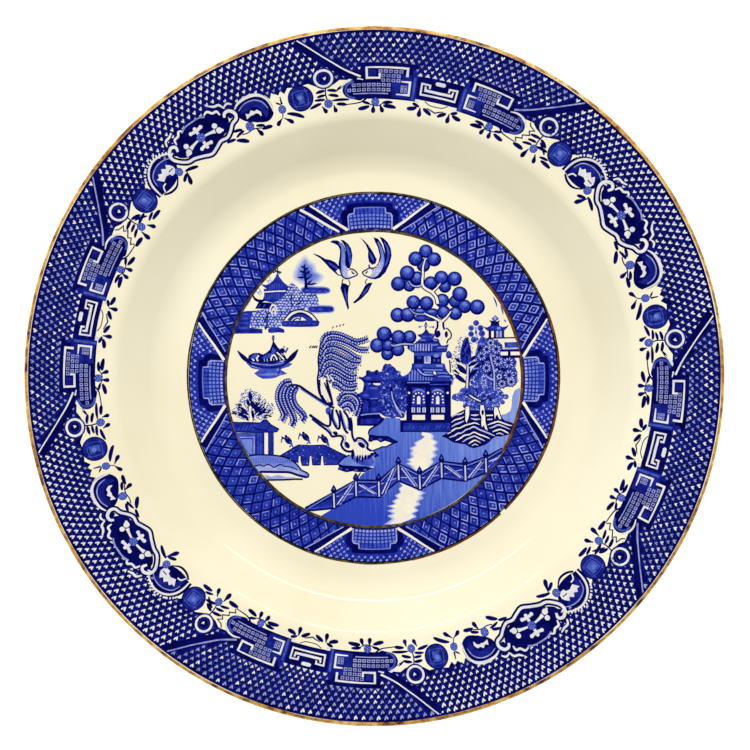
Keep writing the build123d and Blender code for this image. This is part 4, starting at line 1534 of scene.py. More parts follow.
def far_island(ink):
    """The far pagoda on its speckled rocks, the misty fir and the flat islands."""
    mist = [(-25.0, 43.0), (-23.5, 41.5), (-21.8, 40.0), (-21.2, 37.8), (-19.9, 36.9), (-18.9, 35.8),
            (-19.8, 34.3), (-21.3, 33.2), (-23.0, 32.4), (-26.0, 33.2), (-28.3, 34.3), (-29.3, 36.0),
            (-28.6, 38.5), (-27.4, 40.8), (-26.2, 42.2)]
    for level, (tone, size) in enumerate((("haze", 1.12), ("fog", 1.0), ("soft", 0.86), ("wash", 0.68),
                                          ("mid", 0.4))):
        ink.fill(tone, level, [(-24.7 + size * (x + 24.7), 36.6 + size * (y - 36.6)) for x, y in mist], True)
    ink.line("navy", 6, [(-25.4, 40.2), (-25.3, 37.0), (-24.9, 34.0), (-24.8, 31.4)], [0.6, 1.0, 1.0, 1.4])
    for a, b in (((-25.4, 39.0), (-26.7, 39.6)), ((-25.4, 38.2), (-23.9, 39.2)),
                 ((-25.3, 37.2), (-27.3, 38.0)), ((-25.3, 36.4), (-23.4, 37.9)),
                 ((-25.2, 35.4), (-28.0, 35.6)), ((-25.2, 34.6), (-23.2, 35.6)),
                 ((-24.8, 32.6), (-22.6, 34.6)), ((-24.6, 32.8), (-20.8, 33.4))):
        ink.leaf("navy", 6, a, b, 0.75)
    for outline in ([(-26.4, 31.0), (-25.0, 31.9), (-20.0, 31.9), (-17.3, 31.6), (-16.3, 30.8), (-17.2, 30.0),
                     (-20.5, 29.8), (-24.9, 29.8)],
                    [(-24.0, 24.4), (-23.0, 25.0), (-19.0, 25.1), (-15.6, 24.9), (-14.9, 24.0), (-15.8, 23.1),
                     (-20.5, 22.9), (-23.4, 23.1)]):
        ink.line("soft", 1, outline, 0.9, closed=True)
        ink.fill("deep", 2, outline, True)
        y = outline[0][1] - 0.5
        for x in steps(outline[0][0] + 2.0, -17.5, 2.3):
            ink.dot("mid", 3, x, y + random.uniform(-0.2, 0.2), 0.8, 0.32)
    rocks = [(-36.6, 26.3), (-34.2, 29.2), (-31.8, 31.0), (-30.8, 33.0), (-30.0, 33.6), (-28.2, 32.4),
             (-26.8, 30.6), (-24.0, 29.8), (-21.2, 29.6), (-20.3, 27.6), (-20.3, 25.2), (-24.0, 25.1),
             (-25.2, 24.0), (-27.2, 23.7), (-29.6, 23.3), (-31.6, 21.7), (-33.0, 20.0), (-33.8, 18.4),
             (-34.4, 17.4), (-38.6, 17.2), (-39.4, 16.8), (-40.4, 17.4), (-44.6, 17.2), (-45.2, 19.4),
             (-44.0, 23.4), (-39.8, 24.0), (-38.6, 24.0)]
    ink.fill("mid", 1, rocks)
    stipple(ink, "fog", 2, rocks, 1.12, 0.45, 0.16)
    stipple(ink, "deep", 3, rocks, 1.35, 0.3, 0.4, chance=0.6)
    strokes(ink, "navy", 3, 0.5, [(-30.0, 29.6), (-30.2, 27.0), (-29.8, 24.8)],
            [(-37.2, 24.8), (-38.9, 21.8), (-40.0, 19.4)], [(-38.8, 21.8), (-39.0, 18.6), (-39.6, 16.6)],
            [(-26.0, 27.4), (-27.4, 26.2), (-28.6, 25.4)])
    ink.fill("deep", 0, [(-48.9, 23.4), (-43.8, 23.4), (-44.8, 21.0), (-45.2, 17.3), (-40.6, 16.9),
                         (-40.6, 15.2), (-51.8, 15.1), (-51.2, 18.0), (-49.9, 21.4)])
    for y in (22.2, 20.6, 19.0, 17.2):
        ink.leaf("mid", 1, (-49.6 + 0.3 * (y - 17), y), (-45.6, y), 0.7)
    ink.line("navy", 1, [(-51.0, 16.0), (-44.0, 16.2), (-41.0, 15.9)], 0.35)
    # The pagoda
    ink.fill("deep", 4, [(-35.2, 37.4), (-34.4, 35.6), (-33.0, 33.8), (-31.2, 32.3), (-31.6, 31.0),
                         (-38.2, 31.0), (-39.6, 31.7), (-41.4, 33.2), (-39.4, 32.8), (-38.0, 33.3),
                         (-36.8, 34.4), (-35.9, 35.7)])
    for x in steps(-38.0, -33.2, 0.85):
        ink.straight("mid", 5, [(x + 0.1, 33.6 - abs(x + 35.4) * 0.25), (x, 31.4)], 0.32)
    ink.fill("deep", 3, [(-40.2, 31.4), (-31.2, 31.4), (-32.6, 29.0), (-35.2, 26.9), (-36.8, 26.2),
                         (-38.2, 26.6), (-40.6, 27.2), (-40.0, 29.0)])
    ink.line("pale", 5, [(-40.2, 30.2), (-36.0, 30.5), (-32.2, 30.6)], 0.42)
    for x in steps(-39.6, -34.2, 0.8):
        ink.straight("mid", 5, [(x, 29.7), (x, 27.6)], 0.35)
    ink.line("navy", 5, [(-44.2, 29.3), (-43.2, 27.6), (-41.4, 27.0), (-40.0, 27.4), (-38.9, 29.2)],
             [0.4, 0.9, 1.0, 0.8, 0.4])
    ink.fill("navy", 4, [(-42.0, 26.6), (-38.0, 26.4), (-37.0, 26.1), (-38.5, 24.1), (-43.3, 24.2)])
    ink.line("mid", 5, [(-41.4, 25.8), (-42.0, 24.8)], 0.3)
    ink.line("mid", 5, [(-39.6, 25.8), (-40.4, 24.7)], 0.3)
    strokes(ink, "pale", 5, 0.45, [(-38.0, 23.0), (-37.6, 24.6), (-36.7, 25.7), (-35.8, 24.8), (-35.3, 23.2)],
            [(-37.1, 22.0), (-37.2, 23.2), (-36.6, 24.2), (-36.0, 23.2), (-36.1, 22.0)])
    strokes(ink, "navy", 4, 0.45, [(-35.2, 39.0), (-35.2, 36.8)],
            [(-36.8, 37.2), (-35.4, 37.8), (-33.7, 37.3)], [(-36.2, 38.4), (-34.2, 36.8)])
    for x, y, r in ((-38.6, 35.0, 0.9), (-38.0, 34.0, 0.6), (-42.2, 30.8, 0.8), (-41.6, 29.9, 0.6),
                    (-45.6, 27.0, 0.6), (-46.2, 25.9, 0.5)):
        ink.ring("soft", 1, x, y, r, 0.3)
    # The arched rock and the bars in front of it
    ink.fill("pale", 4, [(-33.0, 19.8), (-31.6, 21.6), (-29.8, 23.2), (-26.8, 23.8), (-24.0, 23.0),
                         (-22.0, 21.6), (-20.6, 19.8)])
    strokes(ink, "navy", 5, 0.5, [(-33.0, 19.9), (-31.6, 21.7), (-29.8, 23.2), (-26.8, 23.8), (-24.0, 23.0),
                                  (-22.0, 21.6), (-20.6, 19.8)],
            [(-29.6, 19.9), (-28.0, 20.7), (-26.8, 20.0)], [(-26.9, 21.6), (-26.8, 20.4)])
    ink.fill("deep", 5, [(-31.6, 19.9), (-30.4, 21.0), (-28.8, 22.2), (-26.9, 22.6), (-24.8, 22.0),
                         (-23.2, 20.9), (-22.0, 19.9), (-24.6, 19.9), (-26.0, 21.0), (-27.4, 21.2),
                         (-29.2, 20.9), (-30.2, 19.9)])
    ink.line("navy", 6, [(-31.4, 20.2), (-29.4, 21.8), (-26.9, 22.6), (-24.6, 21.9), (-22.4, 20.3)],
             [0.4, 0.6, 0.7, 0.6, 0.4])
    for outline in ([(-33.4, 19.7), (-27.0, 19.9), (-20.6, 19.9), (-20.1, 18.7), (-20.9, 17.8), (-25.5, 17.6),
                     (-32.7, 17.7), (-33.6, 18.5)],
                    [(-38.2, 17.1), (-35.5, 17.3), (-33.9, 17.2), (-32.8, 16.6), (-32.8, 15.5), (-35.0, 15.6),
                     (-37.9, 15.4), (-38.6, 16.1)]):
        ink.fill("deep", 4, outline, True)
    for x in steps(-32.2, -21.4, 1.7):
        ink.dot("mid", 5, x, 18.7 + random.uniform(-0.25, 0.25), 0.6, 0.3)


def boat(ink):
    """The covered boat and its reflection."""
    ink.fill("mid", 0, [(-46.6, 4.6), (-44.6, 2.6), (-41.0, 1.9), (-37.0, 1.7), (-33.6, 2.4), (-31.0, 3.2),
                        (-29.6, 4.3), (-34.0, 5.0), (-42.0, 5.0)])
    ink.fill("mid", 0, [(-43.6, 0.8), (-41.4, 2.3), (-37.0, 2.0), (-33.6, 1.9), (-31.6, 0.6), (-34.2, 0.0),
                        (-35.8, -0.8), (-38.0, -1.2), (-40.6, -1.2), (-42.4, -0.3)])
    ink.leaf("wash", 1, (-42.6, 0.2), (-33.4, 0.6), 0.9)
    ink.leaf("wash", 1, (-45.2, 3.6), (-41.0, 2.6), 0.6)
    ink.line("deep", 1, [(-34.0, 3.0), (-34.9, 0.4)], 0.8)
    ink.fill("deep", 2, [(-49.0, 8.0), (-47.0, 6.4), (-44.8, 5.2), (-41.0, 4.7), (-37.0, 4.5), (-33.4, 5.0),
                         (-31.4, 6.2), (-28.4, 8.8), (-29.2, 6.6), (-31.2, 4.6), (-34.0, 3.3), (-38.0, 2.8),
                         (-42.4, 3.1), (-45.0, 4.0), (-47.2, 6.0)])
    ink.leaf("navy", 3, (-49.6, 8.9), (-44.4, 4.1), 1.6, -0.3, 0.3)
    ink.leaf("navy", 3, (-27.8, 9.4), (-32.6, 4.1), 1.9, 0.3, 0.3)
    ink.line("navy", 3, [(-45.2, 4.2), (-41.6, 3.0), (-38.0, 2.7), (-34.2, 3.2), (-31.2, 4.8)], 0.45)
    ink.line("soft", 3, [(-44.6, 4.6), (-41.0, 4.0), (-37.0, 3.8), (-33.0, 4.6)], 0.3)
    ink.fill("navy", 2, [(-46.0, 5.4), (-45.6, 7.2), (-44.2, 8.1), (-41.8, 8.2), (-40.4, 7.6), (-39.0, 8.4),
                         (-37.9, 9.4), (-36.9, 12.0), (-36.2, 12.0), (-35.2, 10.4), (-33.8, 9.0),
                         (-32.6, 7.4), (-31.6, 5.8), (-37.0, 4.4), (-42.0, 4.8)])
    ink.fill("mid", 3, [(-45.2, 6.2), (-44.2, 7.6), (-42.2, 7.7), (-42.0, 5.8)])
    ink.fill("mid", 3, [(-40.8, 6.2), (-39.2, 7.8), (-37.4, 8.0), (-36.9, 10.4), (-35.6, 9.0), (-36.4, 7.0),
                         (-38.0, 6.2)])
    strokes(ink, "pale", 4, 0.5, [(-41.9, 7.2), (-42.7, 6.2), (-42.2, 5.2)],
            [(-37.6, 5.4), (-37.2, 6.9), (-36.4, 7.4), (-35.6, 6.4), (-35.4, 5.6)],
            [(-35.4, 8.4), (-34.0, 7.0), (-32.8, 5.8)], [(-44.4, 6.0), (-43.6, 5.3)])
    strokes(ink, "soft", 4, 0.35, [(-40.0, 6.0), (-39.8, 5.1)], [(-39.0, 6.1), (-38.8, 5.1)],
            [(-36.6, 6.2), (-36.4, 5.4)], [(-34.6, 6.6), (-34.0, 5.4)], [(-33.8, 8.0), (-33.0, 7.2)])
    ink.dot("navy", 3, -33.4, 9.0, 0.95)
    ink.line("mid", 2, [(-31.4, 10.0), (-32.4, 8.2)], 0.7)
    ink.line("deep", 2, [(-33.2, 10.4), (-32.4, 10.2)], 0.4)
    ink.line("navy", 2, [(-36.7, 14.6), (-36.7, 11.6)], 0.55)
    ink.dot("navy", 3, -36.7, 13.6, 0.55, 0.85)
    ink.dot("soft", 4, -36.7, 13.6, 0.22, 0.4)


def left_house(ink):
    """The house at the left edge with the tree behind it, and the banked shore in front."""
    crown = [(-45.2, -4.6), (-43.0, -5.5), (-40.5, -8.0), (-38.5, -9.8), (-36.2, -10.3), (-36.2, -13.5),
             (-38.0, -14.9), (-40.0, -16.0), (-44.0, -16.6), (-48.0, -16.2), (-50.6, -14.6), (-51.6, -12.5),
             (-51.0, -10.5), (-49.0, -10.0), (-48.6, -7.0), (-47.2, -5.3)]
    stipple(ink, "soft", 0, crown, 0.95, 0.42, 0.4, chance=0.8)
    stipple(ink, "mid", 1, crown, 0.85, 0.27, 0.35, chance=0.8)
    stipple(ink, "navy", 2, crown, 1.5, 0.22, 0.45, chance=0.7)
    for a, b, w in (((-45.2, -5.8), (-44.8, -9.6), 1.5), ((-44.6, -9.0), (-43.6, -12.2), 1.7),
                    ((-46.2, -8.6), (-45.4, -11.4), 1.2), ((-42.6, -9.6), (-43.4, -13.0), 1.5),
                    ((-41.2, -11.0), (-43.4, -14.0), 1.4), ((-39.4, -12.6), (-42.8, -14.6), 1.2),
                    ((-48.6, -11.4), (-45.8, -14.4), 1.4), ((-49.6, -13.2), (-46.4, -15.6), 1.3),
                    ((-47.0, -14.2), (-45.6, -16.6), 1.1), ((-44.4, -12.4), (-43.8, -15.8), 1.2)):
        ink.leaf("navy", 2, a, b, w)
    for _ in range(34):
        turn, reach = random.uniform(-5, 185), random.uniform(2.4, 6.4)
        foot = polar(-44.6, -14.8, reach, turn)
        if inside(*foot, crown):
            ink.leaf("navy", 2, foot, polar(*foot, 1.5, turn), 0.62)
    ink.line("pale", 3, [(-45.4, -11.6), (-45.0, -14.0), (-44.6, -16.6)], [0.4, 0.6, 0.9])
    # House
    ink.fill("deep", 3, [(-52.4, -17.0), (-47.0, -16.8), (-41.2, -17.0), (-40.3, -15.9), (-39.0, -15.9),
                         (-38.0, -17.2), (-36.4, -18.6), (-34.6, -19.3), (-35.2, -20.3), (-37.0, -20.8),
                         (-43.0, -20.7), (-50.8, -20.7)])
    ink.straight("navy", 4, [(-52.0, -17.0), (-41.4, -17.2), (-40.2, -16.1), (-39.1, -16.1), (-37.6, -17.8),
                         (-34.7, -19.4), (-35.4, -20.4), (-43.0, -20.6), (-50.6, -20.5)], 0.4)
    for x in steps(-49.5, -43.5, 1.3):
        ink.straight("mid", 4, [(x + 1.1, -17.8), (x, -20.0)], 0.3)
    ink.line("navy", 4, [(-44.0, -18.6), (-42.0, -19.6), (-39.0, -19.8)], 0.5)
    ink.fill("mid", 3, [(-50.4, -20.8), (-43.0, -20.8), (-43.0, -28.8), (-45.6, -28.8), (-47.4, -26.4),
                        (-49.0, -23.8)])
    ink.fill("wash", 4, [(-48.4, -23.1), (-43.9, -23.1), (-43.7, -28.4), (-45.5, -28.4), (-46.9, -26.4)])
    ink.straight("soft", 5, [(-48.9, -22.4), (-43.6, -22.4), (-43.6, -28.4)], 0.28)
    ink.straight("navy", 5, [(-48.4, -23.0), (-44.1, -23.0), (-44.1, -28.4)], 0.22)
    ink.straight("navy", 5, [(-43.0, -20.9), (-43.0, -28.6)], 0.3)
    ink.fill("deep", 3, box(-42.9, -28.8, -40.0, -20.6))
    for x in (-42.2, -41.2):
        ink.straight("mid", 4, [(x, -20.9), (x, -28.6)], 0.35)
    ink.fill("pale", 4, box(-40.0, -28.4, -38.6, -20.8))
    ink.fill("deep", 3, box(-38.6, -28.8, -36.5, -20.5))
    ink.straight("navy", 4, [(-38.4, -20.6), (-38.4, -28.6)], 0.4)
    ink.straight("navy", 4, [(-40.1, -20.6), (-40.1, -28.6)], 0.4)
    # Banks
    top = [(-46.2, -29.3), (-43.0, -28.8), (-37.0, -28.9), (-33.0, -29.5), (-30.0, -30.8), (-27.8, -32.6),
           (-26.6, -34.2), (-24.6, -35.2), (-23.9, -36.0), (-24.4, -36.9), (-27.0, -36.4), (-31.0, -35.2),
           (-36.0, -34.9), (-42.0, -34.9), (-43.6, -33.0)]
    ink.fill("wash", 2, top)
    for x in steps(-45.2, -29.2, 0.62):
        ink.straight("mid", 3, [(x, -29.6 - 0.012 * (x + 40) ** 2), (x + 0.1, -31.8)], 0.2)
    ink.fill("soft", 3, [(-43.2, -33.1), (-41.0, -32.8), (-38.6, -32.6), (-36.0, -33.3), (-33.8, -32.6),
                         (-31.0, -33.4), (-28.0, -34.2), (-25.4, -35.4), (-24.9, -36.1), (-27.0, -35.8),
                         (-31.0, -34.8), (-36.0, -34.6), (-42.0, -34.5)])
    ink.line("navy", 4, top[:11], 0.55)
    ink.line("navy", 4, [(-43.8, -32.9), (-41.6, -32.4), (-40.2, -32.9), (-38.4, -32.2), (-36.4, -33.3),
                         (-34.4, -32.3), (-32.4, -33.0), (-30.4, -33.2), (-28.0, -34.2)], 0.42)
    ink.line("navy", 4, [(-41.6, -34.9), (-36.0, -35.0), (-31.0, -35.1), (-27.6, -36.2), (-24.6, -36.9)],
             0.85)
    ink.fill("pale", 2, [(-40.6, -35.4), (-36.0, -35.4), (-31.0, -35.6), (-27.4, -36.8), (-26.0, -37.4),
                         (-33.0, -37.8), (-38.6, -38.0)])
    ink.fill("soft", 3, [(-40.0, -35.9), (-37.6, -36.6), (-35.0, -36.0), (-32.0, -36.8), (-28.0, -37.0),
                         (-33.0, -37.6), (-38.8, -37.6)])
    ink.line("navy", 4, [(-38.9, -37.9), (-33.0, -37.8), (-29.0, -37.6), (-26.0, -37.6)], 0.65)


def bridge(ink):
    """The bridge and three tiny figures that cross it."""
    span = [(-33.9, -28.9), (-31.0, -27.2), (-28.8, -25.8), (-27.5, -25.2), (-23.0, -25.4), (-18.5, -25.2),
            (-16.5, -26.0), (-13.5, -27.6), (-10.4, -29.0), (-12.4, -30.8), (-13.5, -32.3), (-18.2, -32.4),
            (-18.4, -31.0), (-18.7, -29.4), (-19.2, -29.4), (-19.5, -30.6), (-19.7, -32.4), (-22.4, -32.4),
            (-22.6, -30.6), (-22.9, -29.4), (-23.4, -29.4), (-23.7, -30.8), (-23.9, -32.6), (-26.2, -32.6),
            (-26.6, -31.0), (-26.9, -29.4), (-27.4, -29.4), (-27.7, -31.6), (-30.2, -30.6)]
    ink.fill("deep", 3, span)
    ink.straight("navy", 4, span, 0.4, closed=True)
    stipple(ink, "mid", 4, span, 1.15, 0.2, 0.4, chance=0.5)
    stipple(ink, "navy", 4, span, 1.5, 0.24, 0.4, chance=0.6)
    stipple(ink, "soft", 5, span, 1.5, 0.18, 0.45, chance=0.5)
    for x in (-27.15, -23.15, -18.95):
        ink.straight("pale", 6, [(x, -29.3), (x - 0.05, -32.3)], [0.5, 0.8])
    for x, y in ((-31.3, -23.5), (-25.0, -22.3), (-18.1, -23.2)):
        ink.line("mid", 3, [(x + 0.7, y - 0.8), (x + 1.1, y - 1.7), (x + 0.4, y - 2.5)], 0.45)
        ink.straight("mid", 3, [(x + 1.2, y - 1.0), (x + 1.7, y - 2.5)], 0.5)
        ink.dot("navy", 4, x, y, 1.7, 1.1, -48)
        ink.dot("mid", 5, x - 0.35, y + 0.8, 0.5, 0.26, -48)
        ink.dot("mid", 5, x + 0.75, y - 0.7, 0.42, 0.26, -48)
        ink.dot("navy", 4, x - 0.8, y + 1.5, 0.5)
        ink.line("navy", 4, [(x - 0.9, y + 0.4), (x - 1.9, y + 0.8), (x - 2.4, y + 0.1), (x - 2.5, y - 0.9)],
                 [0.5, 0.55, 0.4, 0.3])
        ink.dot("mid", 4, x - 2.1, y + 1.1, 0.4, sides=7)


# The fruit: place, radius and how far forward it hangs
BALLS = [
    (17.7, 39.9, 2.5, 0), (18.6, 45.0, 2.5, 1), (14.9, 42.3, 2.7, 2), (21.6, 42.1, 2.6, 2),
    (12.6, 32.6, 2.3, 0), (8.6, 33.2, 2.7, 1), (15.4, 35.3, 2.5, 1), (11.9, 37.1, 2.8, 2),
    (25.5, 32.2, 2.3, 0), (20.3, 33.5, 2.5, 1), (24.2, 35.4, 2.6, 2), (29.0, 35.0, 2.7, 1),
    (30.9, 29.5, 2.8, 3), (29.2, 26.8, 2.3, 0), (29.3, 22.5, 2.5, 0), (24.5, 27.1, 2.6, 1),
    (32.7, 25.0, 2.5, 1), (37.2, 24.8, 2.8, 2), (25.1, 22.9, 2.5, 2), (14.1, 26.5, 2.6, 1),
    (18.8, 26.2, 2.6, 2), (8.4, 21.9, 2.7, 1), (12.0, 22.0, 2.7, 2), (4.65, 7.7, 2.3, 0),
    (1.0, 10.9, 2.7, 1), (8.4, 9.4, 2.5, 1), (4.8, 11.0, 2.3, 2), (3.5, 15.0, 2.8, 3),
    (12.7, 13.9, 2.5, 1), (8.7, 13.8, 2.7, 4),
]


def ball_tree(ink):
    """The great tree with its clusters of shaded round fruit."""
    for x, y, rx, ry in ((16.7, 20.6, 2.6, 1.2), (20.6, 20.9, 2.6, 1.3), (20.9, 22.9, 2.6, 1.5),
                         (16.6, 23.2, 2.5, 1.4)):
        ink.dot("navy", 0, x, y, rx, ry)
        ink.dot("deep", 1, x, y + 0.1, rx * 0.85, ry * 0.72)
        ink.dot("mid", 2, x - 0.2, y + 0.25, rx * 0.6, ry * 0.4)
        if y > 22:
            ink.dot("wash", 3, x - 0.3, y + 0.4, rx * 0.42, ry * 0.26)
    for x, y, r, depth in BALLS:
        base = 2 + depth * 4
        ink.dot("navy", base, x, y, r)
        ink.dot("deep", base + 1, x - 0.03 * r, y + 0.1 * r, 0.8 * r)
        ink.dot("mid", base + 2, x - 0.07 * r, y + 0.26 * r, 0.54 * r, 0.48 * r)
        ink.dot("wash", base + 3, x - 0.07 * r, y + 0.38 * r, 0.32 * r, 0.24 * r)
        for k in range(16):
            turn = 2 * math.pi * (k + random.random()) / 16
            right, up = math.cos(turn), math.sin(turn)
            reach = random.uniform(0.6, 0.76)
            ink.leaf("mid", base + 2, (x + 0.4 * r * right, y + (0.22 + 0.4 * up) * r),
                     (x + reach * r * right, y + (0.12 + reach * up) * r), 0.3)
            reach = random.uniform(0.36, 0.5)
            ink.leaf("wash", base + 3, (x + 0.2 * r * right, y + (0.36 + 0.16 * up) * r),
                     (x + reach * r * right, y + (0.32 + 0.9 * reach * up) * r), 0.22)
    top = 24
    branches = [
        ([(22.9, 26.0), (22.4, 28.2), (20.8, 30.2), (18.4, 31.6), (17.3, 33.2), (17.5, 36.4), (17.6, 39.4),
          (18.4, 42.2)], [1.0, 0.9, 0.85, 0.8, 0.75, 0.65, 0.5, 0.35]),
        ([(12.4, 34.2), (13.6, 32.7), (15.4, 32.3), (17.4, 32.8)], [0.35, 0.5, 0.5, 0.5]),
        ([(21.0, 30.4), (22.4, 31.6), (23.9, 33.4)], [0.6, 0.5, 0.35]),
        ([(24.4, 19.6), (26.2, 21.2), (27.7, 23.3)], [0.9, 0.6, 0.35]),
        ([(23.6, 19.8), (21.4, 21.0), (19.4, 21.8), (18.0, 22.6)], [0.9, 0.6, 0.5, 0.35]),
        ([(12.8, 24.2), (14.4, 22.6), (16.4, 22.2), (18.6, 22.2)], [0.35, 0.5, 0.45, 0.4]),
        ([(6.0, 11.2), (7.2, 10.8), (10.4, 11.4), (14.2, 11.2)], [0.4, 0.6, 0.6, 0.5]),
    ]
    for points, widths in branches:
        ink.line("navy", top, points, [w + 0.75 for w in widths])
        ink.line("soft" if widths[0] < 0.5 else "pale", top + 1, points, widths)
    ink.line("deep", top, [(6.2, 12.6), (4.2, 12.4), (3.6, 11.0), (4.6, 9.9), (6.4, 10.6)], 0.4)
    # The trunk, with its two knots
    ink.fill("pale", 3, [(23.0, 20.2), (24.8, 20.2), (25.0, 18.4), (25.4, 16.8), (26.2, 16.8), (26.0, 13.0),
                         (26.0, 11.2), (24.3, 11.0), (23.8, 12.6), (23.6, 13.8), (24.0, 15.0), (23.4, 16.6)])
    ink.fill("pale", 3, [(25.6, 8.8), (24.6, 7.2), (24.3, 5.6), (24.9, 4.4), (25.8, 4.8), (26.2, 3.4),
                         (26.4, 0.9), (27.2, 1.6), (26.9, 4.6), (26.2, 6.0), (26.0, 7.8)])
    strokes(ink, "navy", 4, 0.75, [(22.8, 20.0), (22.8, 17.6), (22.1, 16.0), (22.2, 14.6), (23.0, 13.8)],
            [(25.0, 20.0), (24.9, 18.0), (25.4, 16.6)])
    strokes(ink, "navy", 4, 0.5,
            [(25.9, 17.2), (27.0, 16.4), (27.8, 15.0), (27.6, 13.6), (26.6, 12.8), (26.2, 11.6)],
            [(26.9, 8.8), (27.8, 7.6), (27.6, 6.2)], [(27.2, 5.6), (27.4, 3.4), (27.5, 1.0)])
    ink.dot("navy", 5, 23.1, 15.1, 0.85, 1.25)
    ink.dot("navy", 5, 26.0, 14.9, 0.6, 1.2)
    ink.dot("deep", 4, 26.8, 7.5, 0.95, 1.4)
    ink.dot("mid", 5, 26.8, 7.8, 0.45, 0.7)


def great_pavilion(ink):
    """The tall pavilion in the middle: finial, two roofs, a terrace and the arcaded hall on its plinth."""
    ink.fill("navy", 4, [(18.6, 19.7), (18.0, 18.2), (18.5, 16.6), (19.2, 18.2)])
    ink.dot("soft", 5, 18.6, 18.1, 0.24, 0.5)
    strokes(ink, "soft", 3, 0.4, [(16.0, 17.7), (17.4, 17.8)], [(19.6, 17.6), (21.6, 17.5)])
    ink.dot("mid", 4, 16.3, 17.6, 0.4)
    ink.dot("mid", 4, 21.3, 17.5, 0.4)
    ink.fill("deep", 5, [(18.6, 17.0), (18.2, 15.8), (17.2, 14.9), (15.8, 14.7), (16.4, 14.0), (17.0, 13.4),
                         (21.2, 13.4), (22.2, 14.7), (20.9, 14.7), (19.8, 15.2), (19.1, 16.0)])
    ink.straight("navy", 6, [(18.6, 17.0), (18.2, 15.8), (17.2, 14.9), (15.8, 14.7), (16.6, 13.8)], 0.35)
    ink.straight("navy", 6, [(18.8, 16.6), (19.8, 15.2), (22.2, 14.8)], 0.35)
    ink.fill("mid", 6, [(17.4, 14.4), (20.6, 14.4), (20.8, 13.8), (17.4, 13.8)])
    roof = [(17.0, 13.6), (16.0, 12.9), (15.2, 12.0), (14.0, 11.0), (12.2, 10.6), (12.0, 9.9), (13.2, 9.0),
            (14.2, 8.4), (25.8, 8.6), (26.3, 9.4), (26.6, 10.4), (27.0, 11.3), (26.2, 11.2), (25.4, 10.8),
            (24.2, 10.9), (23.6, 12.0), (23.3, 13.2), (21.3, 13.6)]
    ink.fill("deep", 4, roof)
    ink.straight("navy", 5, roof[2:10], 0.4)
    ink.line("navy", 6, [(15.0, 12.2), (18.0, 12.0), (21.0, 12.4), (23.4, 11.8)], 0.35)
    for x in (12.9, 13.8, 14.7, 15.6, 16.6, 17.6, 18.6, 19.6, 20.6):
        rise = 10.9 + min(x - 12.9, 2.0) * 0.28
        ink.straight("soft" if 14.0 < x < 20.0 else "wash", 5, [(x + 0.15, rise), (x, 8.9)], 0.46)
    strokes(ink, "wash", 6, 0.42, [(20.4, 11.4), (21.6, 11.0), (23.0, 11.3)],
            [(22.8, 10.0), (24.4, 10.1), (26.2, 10.0)], [(21.2, 13.3), (22.0, 12.6), (22.6, 12.9)],
            [(16.4, 12.9), (18.4, 12.8)])
    ink.fill("mid", 4, [(14.3, 8.4), (24.6, 8.5), (24.2, 6.7), (14.2, 6.7)])
    ink.dot("wash", 5, 22.4, 7.2, 1.0, 0.7)
    ink.fill("navy", 4, box(14.2, 4.2, 18.0, 7.1))
    ink.fill("navy", 4, box(20.3, 4.2, 24.2, 7.1))
    ink.fill("mid", 5, box(15.4, 6.0, 17.0, 6.9))
    ink.fill("mid", 5, box(21.4, 5.0, 22.0, 6.0))
    ink.fill("mid", 5, box(22.8, 5.0, 23.5, 5.9))
    ink.fill("soft", 5, box(18.1, 4.7, 20.1, 7.0))
    ink.straight("mid", 6, [(18.8, 6.9), (18.8, 5.0)], 0.3)
    terrace = [(13.5, 4.4), (24.8, 4.4), (25.5, 4.1), (25.9, 2.4), (27.2, 0.6), (28.3, 0.1), (28.7, -1.4),
               (28.3, -3.2), (27.2, -4.0), (11.2, -4.0), (10.8, -2.6), (9.8, -1.4), (8.4, -0.5), (10.6, -0.2),
               (12.1, 0.6), (13.1, 1.8), (13.5, 3.2)]
    ink.fill("deep", 4, terrace)
    ink.fill("mid", 5, box(14.4, 2.9, 24.9, 4.1))
    ink.fill("wash", 6, box(22.4, 3.1, 24.7, 3.9))
    for x in (12.6, 13.6, 14.6, 15.6, 16.6, 17.6, 18.6, 19.6, 20.6):
        rise = 1.9 - max(x - 14.8, 0.0) * 0.42 - max(13.6 - x, 0.0) * 1.2
        ink.straight("wash", 5, [(x + 0.1, rise), (x, -1.8)], 0.5)
    ink.line("navy", 6, [(15.0, 2.4), (16.2, 0.9), (17.8, -0.2), (20.4, -0.5), (22.0, -0.4)], 0.45)
    ink.line("soft", 6, [(15.6, 2.3), (16.8, 1.0), (18.2, 0.3), (21.2, 0.2)], 0.42)
    strokes(ink, "wash", 6, 0.4, [(18.0, 1.2), (20.8, 1.0)], [(22.8, 0.9), (24.8, 0.9), (26.6, 0.8)],
            [(23.0, -0.4), (25.0, -0.3), (27.4, -0.5)], [(17.4, 2.2), (20.0, 2.0), (24.6, 2.0)])
    ink.dot("pale", 7, 21.8, 0.9, 0.4, 0.7, 30)
    ink.fill("navy", 6, [(11.0, -2.1), (27.6, -2.1), (28.0, -3.0), (27.0, -3.9), (11.0, -3.9)])
    ink.straight("wash", 7, [(11.8, -2.6), (20.0, -2.6)], 0.35)
    ink.straight("mid", 7, [(20.0, -3.3), (27.0, -3.2)], 0.35)
    ink.line("soft", 7, [(27.6, -1.4), (28.4, -2.2), (27.9, -3.4)], 0.35)
